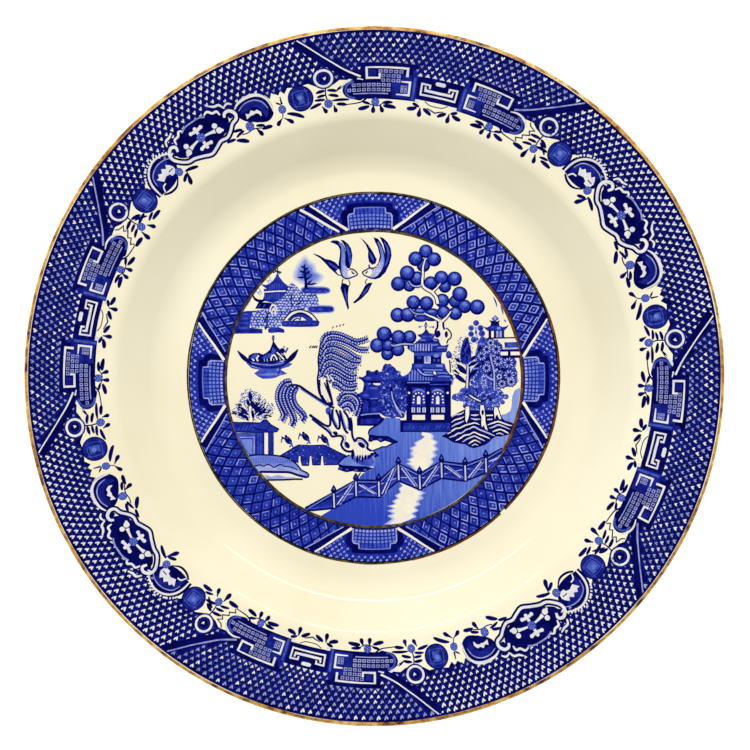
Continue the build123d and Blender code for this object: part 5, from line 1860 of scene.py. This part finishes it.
    # The hall
    ink.fill("navy", 4, box(11.5, -16.4, 27.7, -3.8))
    for middle in (16.0, 22.9):
        ink.fill("deep", 5, box(middle - 2.5, -11.2, middle + 2.5, -4.4))
        ink.ring("wash", 6, middle, -7.6, 2.5, 0.55, 35, 110)
        for k in range(7):
            a = math.radians(-15 + 35 * k)
            ink.dot("pale", 7, middle + 1.85 * math.cos(a), -8.2 + 1.95 * math.sin(a), 0.34, sides=6)
        for side in (-1, 1):
            ink.dot("pale", 7, middle + 1.95 * side, -9.8, 0.34, sides=6)
        ink.fill("pale", 7, [(middle - 0.6, -10.4), (middle + 0.6, -10.4), (middle + 0.6, -8.0),
                             (middle + 0.3, -7.5), (middle - 0.3, -7.5), (middle - 0.6, -8.0)])
        ink.line("soft", 6, [(middle - 1.3, -5.6), (middle, -5.2), (middle + 1.3, -5.6)], 0.35)
        for x in (middle - 1.95, middle, middle + 1.95):
            ink.fill("fog", 6, box(x - 0.62, -13.4, x + 0.62, -11.6))
            ink.straight("mid", 7, [(x, -11.7), (x, -13.3)], 0.26)
        ink.fill("pale", 6, box(middle - 2.3, -16.1, middle + 2.3, -14.3))
    for x in (12.5, 19.4, 26.5):
        ink.fill("navy", 6, box(x - 0.65, -16.2, x + 0.65, -4.0))
        ink.dot("pale", 7, x, -6.3, 0.42)
    ink.straight("navy", 6, [(11.0, -16.5), (28.2, -16.3)], 0.7)
    ink.fill("navy", 4, box(9.3, -20.5, 27.8, -16.2))
    ink.fill("deep", 5, box(10.4, -20.0, 27.4, -17.2))
    for x in steps(11.2, 26.8, 1.4):
        ink.straight("mid", 6, [(x - 0.4, -19.0 + random.uniform(-0.4, 0.4)), (x + 0.4, -18.2)], 0.3)
    ink.dot("pale", 6, 10.9, -15.9, 0.42)


def small_pavilion(ink):
    """The darker pavilion half hidden by foliage to the left of the great one."""
    ink.fill("deep", 4, [(-5.9, -0.4), (-4.4, -0.6), (-3.2, 0.1), (-2.9, 1.9), (-1.9, 1.9), (-1.0, 1.4),
                         (0.0, 1.5), (0.5, 2.1), (1.2, 2.0), (1.7, 1.3), (2.8, 1.5), (2.6, -2.6),
                         (2.6, -14.0), (-5.2, -14.0), (-5.0, -8.6), (-7.7, -6.6), (-5.6, -6.5), (-4.4, -5.8),
                         (-3.9, -3.6), (-4.0, -2.4)])
    strokes(ink, "navy", 5, 0.7, [(-5.6, -0.8), (-4.2, -1.4), (-3.0, -2.2), (2.4, -2.2)],
            [(-2.8, 1.6), (-2.6, 0.2)], [(-7.2, -6.9), (-5.4, -7.6), (-4.4, -8.6), (1.8, -8.9)],
            [(-3.4, -3.6), (-3.5, -5.6)], [(-4.6, -9.4), (-4.7, -13.6)], [(-1.8, -9.4), (-1.8, -13.6)],
            [(0.4, 1.8), (0.6, 0.2)])
    stipple(ink, "navy", 5, [(-4.4, -9.0), (1.8, -9.0), (1.8, -13.8), (-4.6, -13.8)], 1.1, 0.3, 0.4)
    for x, y, rx, ry in ((-2.0, -1.0, 1.6, 0.85), (-3.4, -7.3, 2.0, 0.9), (-0.8, -4.9, 2.4, 0.45),
                         (-2.9, -10.4, 0.8, 1.3), (-0.4, -12.2, 1.5, 1.1), (-0.2, -9.6, 0.7, 0.6),
                         (-3.6, -12.8, 0.8, 0.6)):
        ink.dot("deep", 6, x, y, rx, ry)
    for x, y, rx, ry in ((-2.1, -0.9, 1.1, 0.5), (-3.3, -7.2, 1.3, 0.5), (-0.2, -12.3, 0.8, 0.6),
                         (0.0, -4.9, 1.6, 0.3)):
        ink.dot("mid", 7, x, y, rx, ry)
    ink.straight("wash", 6, [(-2.4, -3.1), (-1.4, -3.0)], 0.5)
    ink.line("pale", 6, [(-0.5, -3.0), (1.2, -3.2), (2.2, -3.0)], [0.4, 0.8, 0.4])
    strokes(ink, "wash", 6, 0.3, [(-1.6, -4.6), (1.0, -4.5)], [(-1.6, -8.5), (1.2, -8.3)])
    ink.fill("navy", 4, [(-6.4, -14.6), (-5.4, -13.9), (2.2, -13.9), (3.8, -15.3), (2.6, -16.8), (1.2, -17.9),
                         (-0.2, -18.3), (-6.4, -18.2)])
    ink.fill("deep", 5, [(-5.0, -15.8), (2.2, -15.6), (1.0, -17.4), (-5.0, -17.6)])
    ink.line("soft", 6, [(-5.0, -14.4), (-2.0, -14.0), (2.0, -13.8)], 0.4)
    ink.line("pale", 7, [(2.0, -13.9), (2.8, -14.8), (4.0, -15.3)], [0.4, 0.7, 0.4])


def curled_foliage(ink, level, outline, pitch, tones):
    """A mass of small curled leaves over an outline."""
    xs, ys = [p[0] for p in outline], [p[1] for p in outline]
    for k, y in enumerate(steps(min(ys), max(ys), pitch * 0.85)):
        for x in steps(min(xs) + (k % 2) * pitch / 2, max(xs), pitch):
            px, py = x + random.uniform(-0.35, 0.35) * pitch, y + random.uniform(-0.35, 0.35) * pitch
            if not inside(px, py, outline):
                continue
            tone = random.choice(tones)
            start = random.uniform(0, 360)
            if random.random() < 0.6:
                ink.ring(tone, level, px, py, random.uniform(0.32, 0.5), random.uniform(0.2, 0.3), start,
                         random.uniform(130, 220))
            else:
                ink.dot(tone, level, px, py, random.uniform(0.24, 0.44), random.uniform(0.16, 0.26), start, 6)


def dark_tree(ink):
    """The dense dark tree between the two pavilions."""
    outline = [(3.1, 3.4), (3.8, 4.3), (4.8, 4.1), (5.6, 4.3), (6.4, 3.5), (7.4, 2.8), (8.0, 1.9), (9.0, 1.5),
               (9.4, 0.4), (10.4, -0.6), (11.5, -2.4), (11.8, -6.0), (11.6, -12.0), (10.6, -15.4),
               (9.4, -15.4), (8.2, -15.0), (6.6, -15.6), (5.0, -14.9), (3.8, -15.0), (2.4, -13.8),
               (2.0, -9.0), (2.2, -4.0), (2.2, 0.4), (2.6, 1.6)]
    ink.fill("deep", 5, outline)
    curled_foliage(ink, 6, outline, 0.95, ("navy", "navy", "mid", "mid", "wash"))
    for x, y in ((4.6, 0.6), (3.4, -4.4), (5.7, -3.6), (7.9, -4.3), (9.9, -8.2), (5.0, -10.8), (3.2, -9.4),
                 (5.5, -14.0), (8.6, 0.6), (4.0, -7.0), (7.2, -14.4), (5.0, -12.8)):
        ink.dot("soft", 7, x, y, 0.5, 0.3, random.uniform(0, 180), 7)
    ink.line("navy", 7, [(5.9, -4.0), (6.4, -7.0), (7.2, -9.6), (8.6, -12.4), (10.4, -15.2)],
             [0.7, 1.1, 1.3, 1.5, 1.3])
    ink.line("soft", 8, [(6.2, -5.8), (6.5, -8.0), (7.5, -10.6), (8.6, -12.6), (10.0, -14.9)],
             [0.35, 0.45, 0.55, 0.9, 0.3])
    ink.line("soft", 8, [(9.0, -12.8), (10.2, -13.4), (11.4, -14.0)], [0.5, 0.4, 0.2])


def rosette(ink, level, x, y, r):
    """One of the round, toothed blossoms of the right-hand trees."""
    ink.dot("deep", level, x, y, r)
    for k in range(10):
        turn = 36 * k
        ink.dot("navy", level, *polar(x, y, 0.98 * r, turn), 0.3, sides=7)
        ink.leaf("fog" if k % 2 else "soft", level + 1, polar(x, y, 0.34 * r, turn),
                 polar(x, y, 0.88 * r, turn), 0.42)
    ink.dot("navy", level + 2, x, y, 0.46)


def right_trees(ink):
    """The thicket of blossom trees at the right, with the little pavilion above it."""
    mass = [(37.4, 12.4), (39.0, 13.6), (41.2, 13.5), (44.4, 12.8), (46.4, 11.0), (46.4, 8.4), (50.4, 6.8),
            (51.6, 5.0), (51.0, 3.0), (51.8, 1.0), (51.8, -2.0), (50.8, -3.5), (46.6, -4.5), (44.2, -4.4),
            (40.0, -3.6), (35.0, -3.4), (34.2, -1.0), (35.0, 2.0), (37.6, 4.8), (36.2, 5.8), (36.6, 8.4),
            (37.2, 10.4)]
    ink.fill("mid", 1, mass)
    curled_foliage(ink, 2, mass, 0.9, ("navy", "deep", "navy", "soft", "fog"))
    for x, y, turn in ((41.6, 0.6, 40), (44.8, 2.6, 130), (42.0, 6.4, 60), (46.6, 2.2, 170), (47.0, -1.2, 20),
                       (39.2, 4.8, 110), (41.0, 6.0, 30), (44.6, 7.4, 150), (38.0, 9.6, 70), (47.4, 6.6, 10)):
        ink.leaf("navy", 3, polar(x, y, -1.2, turn), polar(x, y, 1.2, turn), 1.1)
    for x, y, r in ((38.8, 7.0, 1.9), (40.7, 9.4, 1.8), (44.1, 9.5, 2.0), (42.1, 11.8, 1.6), (44.8, 5.2, 2.1),
                    (48.5, 4.7, 2.3), (40.6, 2.7, 1.9), (48.8, 0.1, 2.3), (45.2, -0.4, 1.2),
                    (46.2, -3.0, 1.7), (49.5, -2.3, 1.8)):
        rosette(ink, 3, x, y, r)
    for x, y, r in ((36.8, 19.0, 1.1), (35.0, 17.2, 1.05), (38.4, 17.2, 1.1), (35.0, 15.0, 1.05),
                    (38.9, 15.2, 1.2), (36.0, 13.0, 1.15), (39.2, 12.8, 1.3)):
        ink.dot("mid", 4, x, y, r)
        ink.dot("deep", 5, x + 0.15, y - 0.15, r * 0.5)
    ink.line("soft", 3, [(36.6, 17.6), (36.9, 15.4), (37.4, 12.6)], 0.7)
    ink.dot("navy", 4, 36.7, 15.6, 0.32, 0.75)
    ink.dot("navy", 4, 37.4, 13.2, 0.3, 0.5)
    strokes(ink, "navy", 5, 1.3, [(43.4, -4.6), (43.3, -1.0), (43.2, 2.0), (42.5, 4.8), (42.0, 7.0)])
    strokes(ink, "soft", 6, 0.6, [(43.4, -4.8), (43.4, -1.0), (43.2, 2.0), (42.5, 4.8), (42.0, 7.2)],
            [(43.2, -1.6), (41.4, -0.9), (40.2, 0.2)], [(43.2, 1.2), (44.6, 2.4)])
    # The dark-leaved tree beside it
    dots = [(28.3, 7.0), (29.2, 10.4), (30.4, 13.0), (31.4, 14.2), (33.4, 14.2), (34.6, 12.8), (35.8, 10.6),
            (35.8, 8.0), (34.0, 6.0), (31.0, 6.4), (30.4, 0.0), (31.0, -1.8), (28.6, -1.0), (27.6, 2.0),
            (27.8, 5.0)]
    stipple(ink, "mid", 1, dots, 0.8, 0.28, 0.35, chance=0.85)
    stipple(ink, "soft", 1, dots, 0.95, 0.26, 0.35, chance=0.6)
    for a, b, w in (((33.0, 13.0), (33.0, 3.4), 1.5), ((29.2, 6.4), (31.2, 4.7), 1.2),
                    ((29.8, 4.1), (33.5, 0.3), 2.1), ((28.6, 2.1), (31.2, 0.6), 1.1),
                    ((28.8, 0.6), (33.3, -2.8), 1.7), ((36.6, 7.2), (34.4, 5.0), 1.3),
                    ((37.6, 5.2), (33.9, 3.4), 1.4), ((38.7, 4.1), (36.0, 2.8), 1.1),
                    ((37.4, 2.3), (34.0, -0.8), 1.6)):
        ink.leaf("navy", 4, a, b, w)
    plume = [(31.3, 5.0), (31.0, 8.0), (31.5, 10.6), (32.3, 12.8), (33.1, 13.8), (34.0, 12.6), (34.8, 10.4),
             (35.1, 7.6), (34.7, 5.0), (33.3, 4.0)]
    ink.fill("deep", 5, plume, True)
    for k in range(40):
        y = 4.0 + 0.22 * k
        away = random.uniform(-1.0, 1.0)
        wide = 1.9 - 0.03 * k
        ink.leaf("navy" if k % 4 else "mid", 6 + k % 3, (33.1 + 0.75 * wide * away, y),
                 (33.1 + 1.15 * wide * away, y + 1.5), random.uniform(0.35, 0.6))
    ink.line("navy", 4, [(33.9, 4.0), (33.9, 0.0), (33.6, -4.4)], 1.6)
    ink.line("fog", 5, [(33.3, 5.2), (33.8, 3.0), (33.7, 0.0), (33.5, -4.6)], [0.3, 0.6, 0.65, 0.8])
    strokes(ink, "soft", 5, 0.35, [(33.8, 3.6), (32.6, 3.8), (31.4, 4.6)],
            [(33.8, 4.6), (35.2, 5.0), (37.0, 5.4)], [(33.8, 2.9), (36.0, 2.6), (37.6, 2.6)])
    ink.line("pale", 5, [(29.2, 2.6), (31.2, 0.9), (33.4, 0.0)], [0.3, 0.6, 0.4])
    # Lower foliage over the striped hill
    low = [(32.0, -4.6), (36.0, -3.4), (44.0, -4.4), (46.4, -5.8), (47.0, -7.6), (45.6, -9.4), (45.4, -11.4),
           (43.0, -12.6), (38.0, -12.9), (34.0, -12.4), (32.0, -11.4), (32.2, -9.6), (29.6, -9.2),
           (28.0, -8.4), (28.6, -6.8), (30.4, -6.4), (31.0, -5.2)]
    ink.fill("mid", 1, low, True)
    curled_foliage(ink, 2, low, 0.85, ("deep", "navy", "fog", "soft", "deep"))
    for x, y, r in ((47.6, -7.7, 1.0), (46.4, -9.7, 0.85), (46.2, -8.3, 0.5), (45.6, -6.8, 0.6)):
        ink.dot("mid", 2, x, y, r)
    ink.dot("soft", 3, 47.3, -7.8, 0.4)
    strokes(ink, "navy", 4, 0.6, [(33.4, -7.0), (35.4, -8.3), (37.2, -9.3), (38.4, -10.2)],
            [(38.4, -9.6), (39.6, -9.0), (40.8, -8.4), (41.5, -7.0)], [(41.6, -8.4), (42.4, -9.2)],
            [(34.8, -6.4), (36.2, -7.6), (37.2, -8.0)])
    ink.ring("navy", 4, 36.0, -6.2, 1.4, 0.45, -60, 170)
    ink.line("pale", 5, [(34.4, -7.2), (36.4, -8.4), (38.4, -9.4)], [0.3, 0.5, 0.3])


def far_pavilion(ink):
    """The little pavilion at the right edge and its steps."""
    ink.fill("mid", 3, [(43.8, 21.9), (42.4, 20.6), (43.4, 19.4), (45.2, 20.5)])
    ink.dot("soft", 4, 43.7, 20.8, 0.5, 0.7)
    ink.fill("navy", 4, [(41.5, 20.0), (42.2, 19.1), (42.0, 18.0), (45.3, 18.0), (45.1, 19.2), (45.6, 20.0),
                         (44.4, 19.6), (43.0, 19.8)])
    ink.fill("deep", 4, [(39.3, 17.8), (40.7, 17.4), (42.0, 18.1), (45.2, 18.1), (46.2, 17.6), (47.4, 17.7),
                         (48.7, 18.3), (47.9, 17.1), (46.8, 16.1), (41.0, 16.1), (40.2, 16.8)])
    ink.dot("wash", 5, 45.0, 17.1, 0.75, 0.6)
    ink.dot("mid", 5, 42.6, 17.4, 0.8, 0.4)
    for x0, x1 in ((41.3, 42.3), (43.2, 44.1), (46.1, 47.0)):
        ink.fill("navy", 4, box(x0, 13.5, x1, 16.3))
    ink.fill("pale", 3, box(42.2, 13.6, 43.3, 16.1))
    ink.fill("soft", 3, box(44.0, 13.6, 46.2, 16.1))
    ink.fill("navy", 4, box(44.9, 13.6, 45.3, 16.1))
    ink.straight("navy", 4, [(41.0, 13.5), (50.8, 13.7)], 0.5)
    ink.fill("pale", 3, [(44.7, 13.2), (51.0, 13.3), (51.6, 12.2), (45.8, 12.1)])
    ink.fill("deep", 3, [(47.0, 12.0), (51.8, 12.1), (52.2, 10.2), (47.2, 10.1)])
    ink.fill("mid", 4, box(48.4, 10.5, 51.4, 11.7))
    ink.straight("soft", 4, [(46.6, 9.9), (52.2, 9.9)], 0.4)
    ink.fill("navy", 4, [(45.8, 9.5), (52.4, 9.6), (52.6, 8.7), (46.2, 8.6)])
    ink.fill("pale", 3, [(45.6, 8.6), (52.6, 8.6), (52.9, 7.3), (45.8, 7.3)])
    ink.fill("navy", 4, box(48.3, 6.8, 49.3, 8.8))
    ink.fill("navy", 4, [(45.8, 7.2), (52.9, 7.4), (53.0, 6.4), (47.0, 6.2)])
    for a, b in (((43.0, 28.6), (44.4, 24.6)), ((45.6, 25.4), (46.6, 21.8)), ((46.8, 20.2), (47.6, 19.2))):
        ink.leaf("mid", 3, a, b, 0.6, 0.2)


# The hill's outline, and the light strokes that stripe it
HILL = [(24.2, -22.0), (26.0, -21.0), (27.2, -20.0), (27.7, -18.0), (27.7, -14.9), (30.0, -13.6),
        (32.4, -12.4), (34.5, -12.6), (38.0, -12.8), (43.0, -12.6), (44.4, -11.6), (46.0, -15.2),
        (47.2, -16.3), (49.8, -17.1), (50.6, -17.6), (48.9, -21.4), (45.8, -22.1), (44.0, -22.1),
        (42.6, -23.0), (41.6, -24.1), (40.2, -25.1), (38.5, -25.7), (36.0, -26.4), (34.2, -25.9),
        (33.0, -25.0), (30.8, -24.7), (28.3, -24.2), (26.4, -22.9)]
STRIPES = [
    [(28.0, -15.1), (29.4, -14.2), (31.0, -14.0), (32.4, -13.2)],
    [(27.9, -17.0), (29.4, -16.0), (31.0, -15.6), (32.4, -14.9)],
    [(27.9, -18.7), (29.2, -17.8), (30.8, -17.2), (32.4, -16.5)],
    [(26.4, -21.2), (28.4, -19.9), (29.6, -19.2), (31.0, -19.0), (33.0, -18.0), (34.6, -17.6), (36.4, -17.2),
     (38.0, -17.8)],
    [(27.0, -22.5), (29.0, -21.8), (30.2, -21.0), (31.6, -20.8), (33.0, -19.8), (34.6, -19.2), (36.0, -18.6),
     (38.0, -19.6), (40.0, -20.4), (42.0, -21.2), (43.6, -21.9)],
    [(29.4, -23.6), (31.0, -22.8), (32.6, -21.7), (34.4, -21.4), (36.0, -20.6), (38.0, -21.4), (40.0, -22.1),
     (41.8, -22.9)],
    [(31.9, -24.1), (33.4, -23.1), (34.8, -22.5), (36.2, -22.0), (38.0, -22.8), (40.0, -23.7)],
    [(34.1, -24.8), (35.4, -23.9), (36.6, -23.5), (38.4, -24.4)],
    [(35.2, -25.5), (36.5, -24.9), (37.6, -25.4)],
    [(41.0, -17.9), (43.0, -17.2), (44.8, -16.7), (46.4, -17.2), (48.4, -17.9), (49.9, -18.2)],
    [(41.5, -19.1), (43.0, -18.7), (44.8, -17.9), (46.6, -18.4), (49.1, -19.5)],
    [(42.8, -20.4), (44.4, -19.8), (45.8, -19.6), (47.4, -20.3), (48.6, -21.0)],
    [(44.1, -21.3), (45.4, -20.9), (46.7, -21.5)],
    [(34.9, -14.3), (36.4, -14.4), (37.7, -14.2)],
    [(35.0, -15.6), (36.6, -15.9), (38.3, -15.8)],
    [(40.5, -14.5), (42.9, -14.4)],
    [(40.9, -16.0), (42.7, -15.8)],
]


def striped_hill(ink):
    """The ploughed hill at the right, and the trunks that stand on it."""
    ink.fill("navy", 2, HILL)
    for k, points in enumerate(STRIPES):
        widths = [0.22] + [random.uniform(0.42, 0.58) for _ in points[1:-1]] + [0.22]
        ink.line("pale" if k % 2 else "fog", 3, points, widths if len(points) > 2 else 0.45)
    for trunk in ([(33.0, -11.4), (34.3, -11.2), (34.3, -14.0), (33.9, -15.8), (33.3, -17.2), (32.9, -16.0)],
                  [(38.4, -10.8), (39.6, -10.8), (40.0, -14.0), (40.2, -17.0), (41.0, -19.9), (40.2, -19.5),
                   (39.6, -18.0), (39.0, -18.7), (38.7, -18.0), (38.8, -15.0), (38.2, -13.8)],
                  [(43.5, -11.4), (44.6, -11.7), (45.0, -13.0), (45.9, -15.8), (45.2, -15.8), (44.6, -14.3),
                   (44.0, -14.4), (43.6, -15.9), (43.3, -13.0)]):
        ink.straight("navy", 4, trunk, 0.7, closed=True)
        ink.fill("pale", 5, trunk)
    ink.dot("navy", 6, 39.2, -13.4, 0.45, 1.0)


# The fence posts: place, top and foot
POSTS = [(-14.8, -42.6, -48.2), (-6.8, -38.2, -44.0), (1.5, -38.3, -44.2), (8.6, -32.2, -38.2),
         (16.3, -35.8, -41.4), (24.2, -31.4, -37.3), (32.8, -32.4, -38.3), (40.3, -29.8, -35.4)]


def fence(ink):
    """The zigzag fence along the near shore."""
    posts = [(-25.2, -48.3, -49.2)] + POSTS + [(46.4, -26.6, -31.0)]
    for k, ((x0, t0, b0), (x1, t1, b1)) in enumerate(zip(posts, posts[1:])):
        ink.fill("deep", 4, [(x0, t0 + 0.3), (x1, t1 + 0.3), (x1, b1 - 0.1), (x0, b0 - 0.1)])
        ink.straight("navy", 5, [(x0, t0 + 0.3), (x1, t1 + 0.3)], 0.55)
        ink.straight("navy", 5, [(x0, b0), (x1, b1)], 0.6)
        ink.straight("wash", 6, [(x0 + 0.5, t0 - 0.35), (x1 - 0.5, t1 - 0.35)], 0.32)
        ink.straight("navy", 5, [(x0, t0 - 1.0), (x1, t1 - 1.0)], 0.4)
        ink.straight("mid", 6, [(x0 + 0.5, b0 + 0.8), (x1 - 0.5, b1 + 0.8)], 0.3)
        if not k:
            continue
        tops, feet = (t0 - 1.4, t1 - 1.4), (b0 + 1.3, b1 + 1.3)
        rise = (feet[0], tops[1]) if k % 2 else (tops[0], feet[1])
        fall = (tops[0], feet[1]) if k % 2 else (feet[0], tops[1])
        ink.straight("fog", 6, [(x0 + 1.2, rise[0]), (x1 - 1.6, rise[1])], 0.4)
        ink.straight("soft", 6, [(x0 + 2.3, rise[0]), (x1 - 0.7, rise[1])], 0.3)
        for near, far, tone in ((0.12, 0.42, "soft"), (0.24, 0.5, "mid"), (0.58, 0.88, "soft")):
            ends = [(x0 + t * (x1 - x0), fall[0] + t * (fall[1] - fall[0])) for t in (near, far)]
            ink.straight(tone, 6, ends, 0.32)
    for x, top, low in POSTS:
        ink.straight("navy", 7, [(x, top + 0.6), (x + 0.2, low - 0.2)], 1.5)
        ink.straight("fog", 8, [(x, top - 0.2), (x + 0.2, low + 0.3)], 0.55)
        ink.fill("navy", 7, [(x - 0.95, top + 0.5), (x - 0.9, top + 1.5), (x - 0.3, top + 2.6),
                             (x, top + 3.0), (x + 0.3, top + 2.6), (x + 0.9, top + 1.5),
                             (x + 0.95, top + 0.5)], True)
        ink.dot("mid", 8, x, top + 1.5, 0.38, 0.5)


def centre_scene():
    """The whole willow-type landscape."""
    ink = Print("centre_scene", "well_ink", ["centre_scene_print"], scene_place)
    for part in (water, middle_bank, far_island, boat, left_house, bridge, bird_left, bird_right, willow,
                 small_pavilion, great_pavilion, dark_tree, ball_tree, right_trees, far_pavilion,
                 striped_hill, fence):
        part(ink)
    ink.finish()


centre_scene()


# ---------------------------------------------------------------- floor, light and camera

def pale_floor():
    """A plain matt material, lit a little from within so that it stays near white."""
    mat, _, _, main = shader("floor")
    main.inputs["Base Color"].default_value = (0.9, 0.9, 0.9, 1.0)
    main.inputs["Roughness"].default_value = 0.9
    main.inputs["Specular IOR Level"].default_value = 0.0
    main.inputs["Emission Color"].default_value = (1.0, 1.0, 1.0, 1.0)
    main.inputs["Emission Strength"].default_value = 0.45
    return mat


FLOOR_SIZE, FLOOR_GAP = 6.0, 0.0002
bpy.ops.mesh.primitive_plane_add(size=FLOOR_SIZE, location=(0.0, 0.0, -FLOOR_GAP))
floor = bpy.context.object
floor.name = "floor"
floor.data.materials.append(pale_floor())


def area_light(name, place, size, power, colour=(1.0, 1.0, 1.0), glossy=True):
    """A soft rectangular lamp aimed at the plate, which the camera doesn't see."""
    data = bpy.data.lights.new(name, "AREA")
    data.shape = "RECTANGLE"
    data.size, data.size_y = size
    data.energy = power
    data.color = colour
    lamp = bpy.data.objects.new(name, data)
    lamp.location = place
    lamp.rotation_euler = Vector(place).to_track_quat("Z", "Y").to_euler()
    lamp.visible_camera = False
    lamp.visible_glossy = glossy
    bpy.context.scene.collection.objects.link(lamp)


WARM = (1.0, 0.995, 0.98)
LOW_PANEL = (2.4, 0.5)
area_light("key", (0.1, 1.3, 1.65), (1.6, 1.0), 21.0, WARM, glossy=False)
area_light("fill", (-1.4, -0.8, 1.5), (1.4, 1.4), 5.0, glossy=False)
area_light("low_back", (0.2, 1.9, 0.3), LOW_PANEL, 1.1)
area_light("low_front", (0.0, -1.9, 0.3), LOW_PANEL, 2.2, glossy=False)
area_light("low_left", (-1.9, 0.0, 0.3), LOW_PANEL, 1.4, glossy=False)
area_light("low_right", (1.9, 0.0, 0.3), LOW_PANEL, 1.0, glossy=False)

# A row of small dim strips round the back, which the cavetto mirrors as broken arcs
STRIP_COUNT = 27
STRIP_PITCH = 3.1
STRIP_MIDDLE = 91.0
STRIP_SIZE = (0.04, 0.012)
STRIP_POWER, STRIP_FADE = 0.4, 0.004
STRIP_REACH = 1.76
STRIP_RISE = math.radians(28.5)
for k in range(STRIP_COUNT):
    off = STRIP_PITCH * (k - STRIP_COUNT // 2)
    spot = (*polar(0.0, 0.0, STRIP_REACH * math.cos(STRIP_RISE), STRIP_MIDDLE + off),
            STRIP_REACH * math.sin(STRIP_RISE))
    area_light(f"strip_{k}", spot, STRIP_SIZE, STRIP_POWER - STRIP_FADE * abs(off))

world = bpy.data.worlds.new("pale_room")
world.use_nodes = True
sky = next(n for n in world.node_tree.nodes if n.type == "BACKGROUND")
sky.inputs["Color"].default_value = (1.0, 1.0, 1.0, 1.0)
sky.inputs["Strength"].default_value = 0.62
world.cycles_visibility.glossy = False
bpy.context.scene.world = world

# The camera looks straight down from far above the rim, and FRAME_WIDTH of the rim's plane fills the picture
CAMERA_DISTANCE = 1.87
FRAME_WIDTH = 0.2718
CAMERA_ASIDE = (0.00022, 0.00040)
camera_data = bpy.data.cameras.new("camera")
camera_data.sensor_width = 36.0
camera_data.lens = camera_data.sensor_width * CAMERA_DISTANCE / FRAME_WIDTH
camera_data.clip_end = 20.0
camera = bpy.data.objects.new("camera", camera_data)
camera.location = (*CAMERA_ASIDE, RIM_HEIGHT * MM + CAMERA_DISTANCE)
bpy.context.scene.collection.objects.link(camera)
bpy.context.scene.camera = camera
bpy.context.scene.view_settings.view_transform = "Standard"
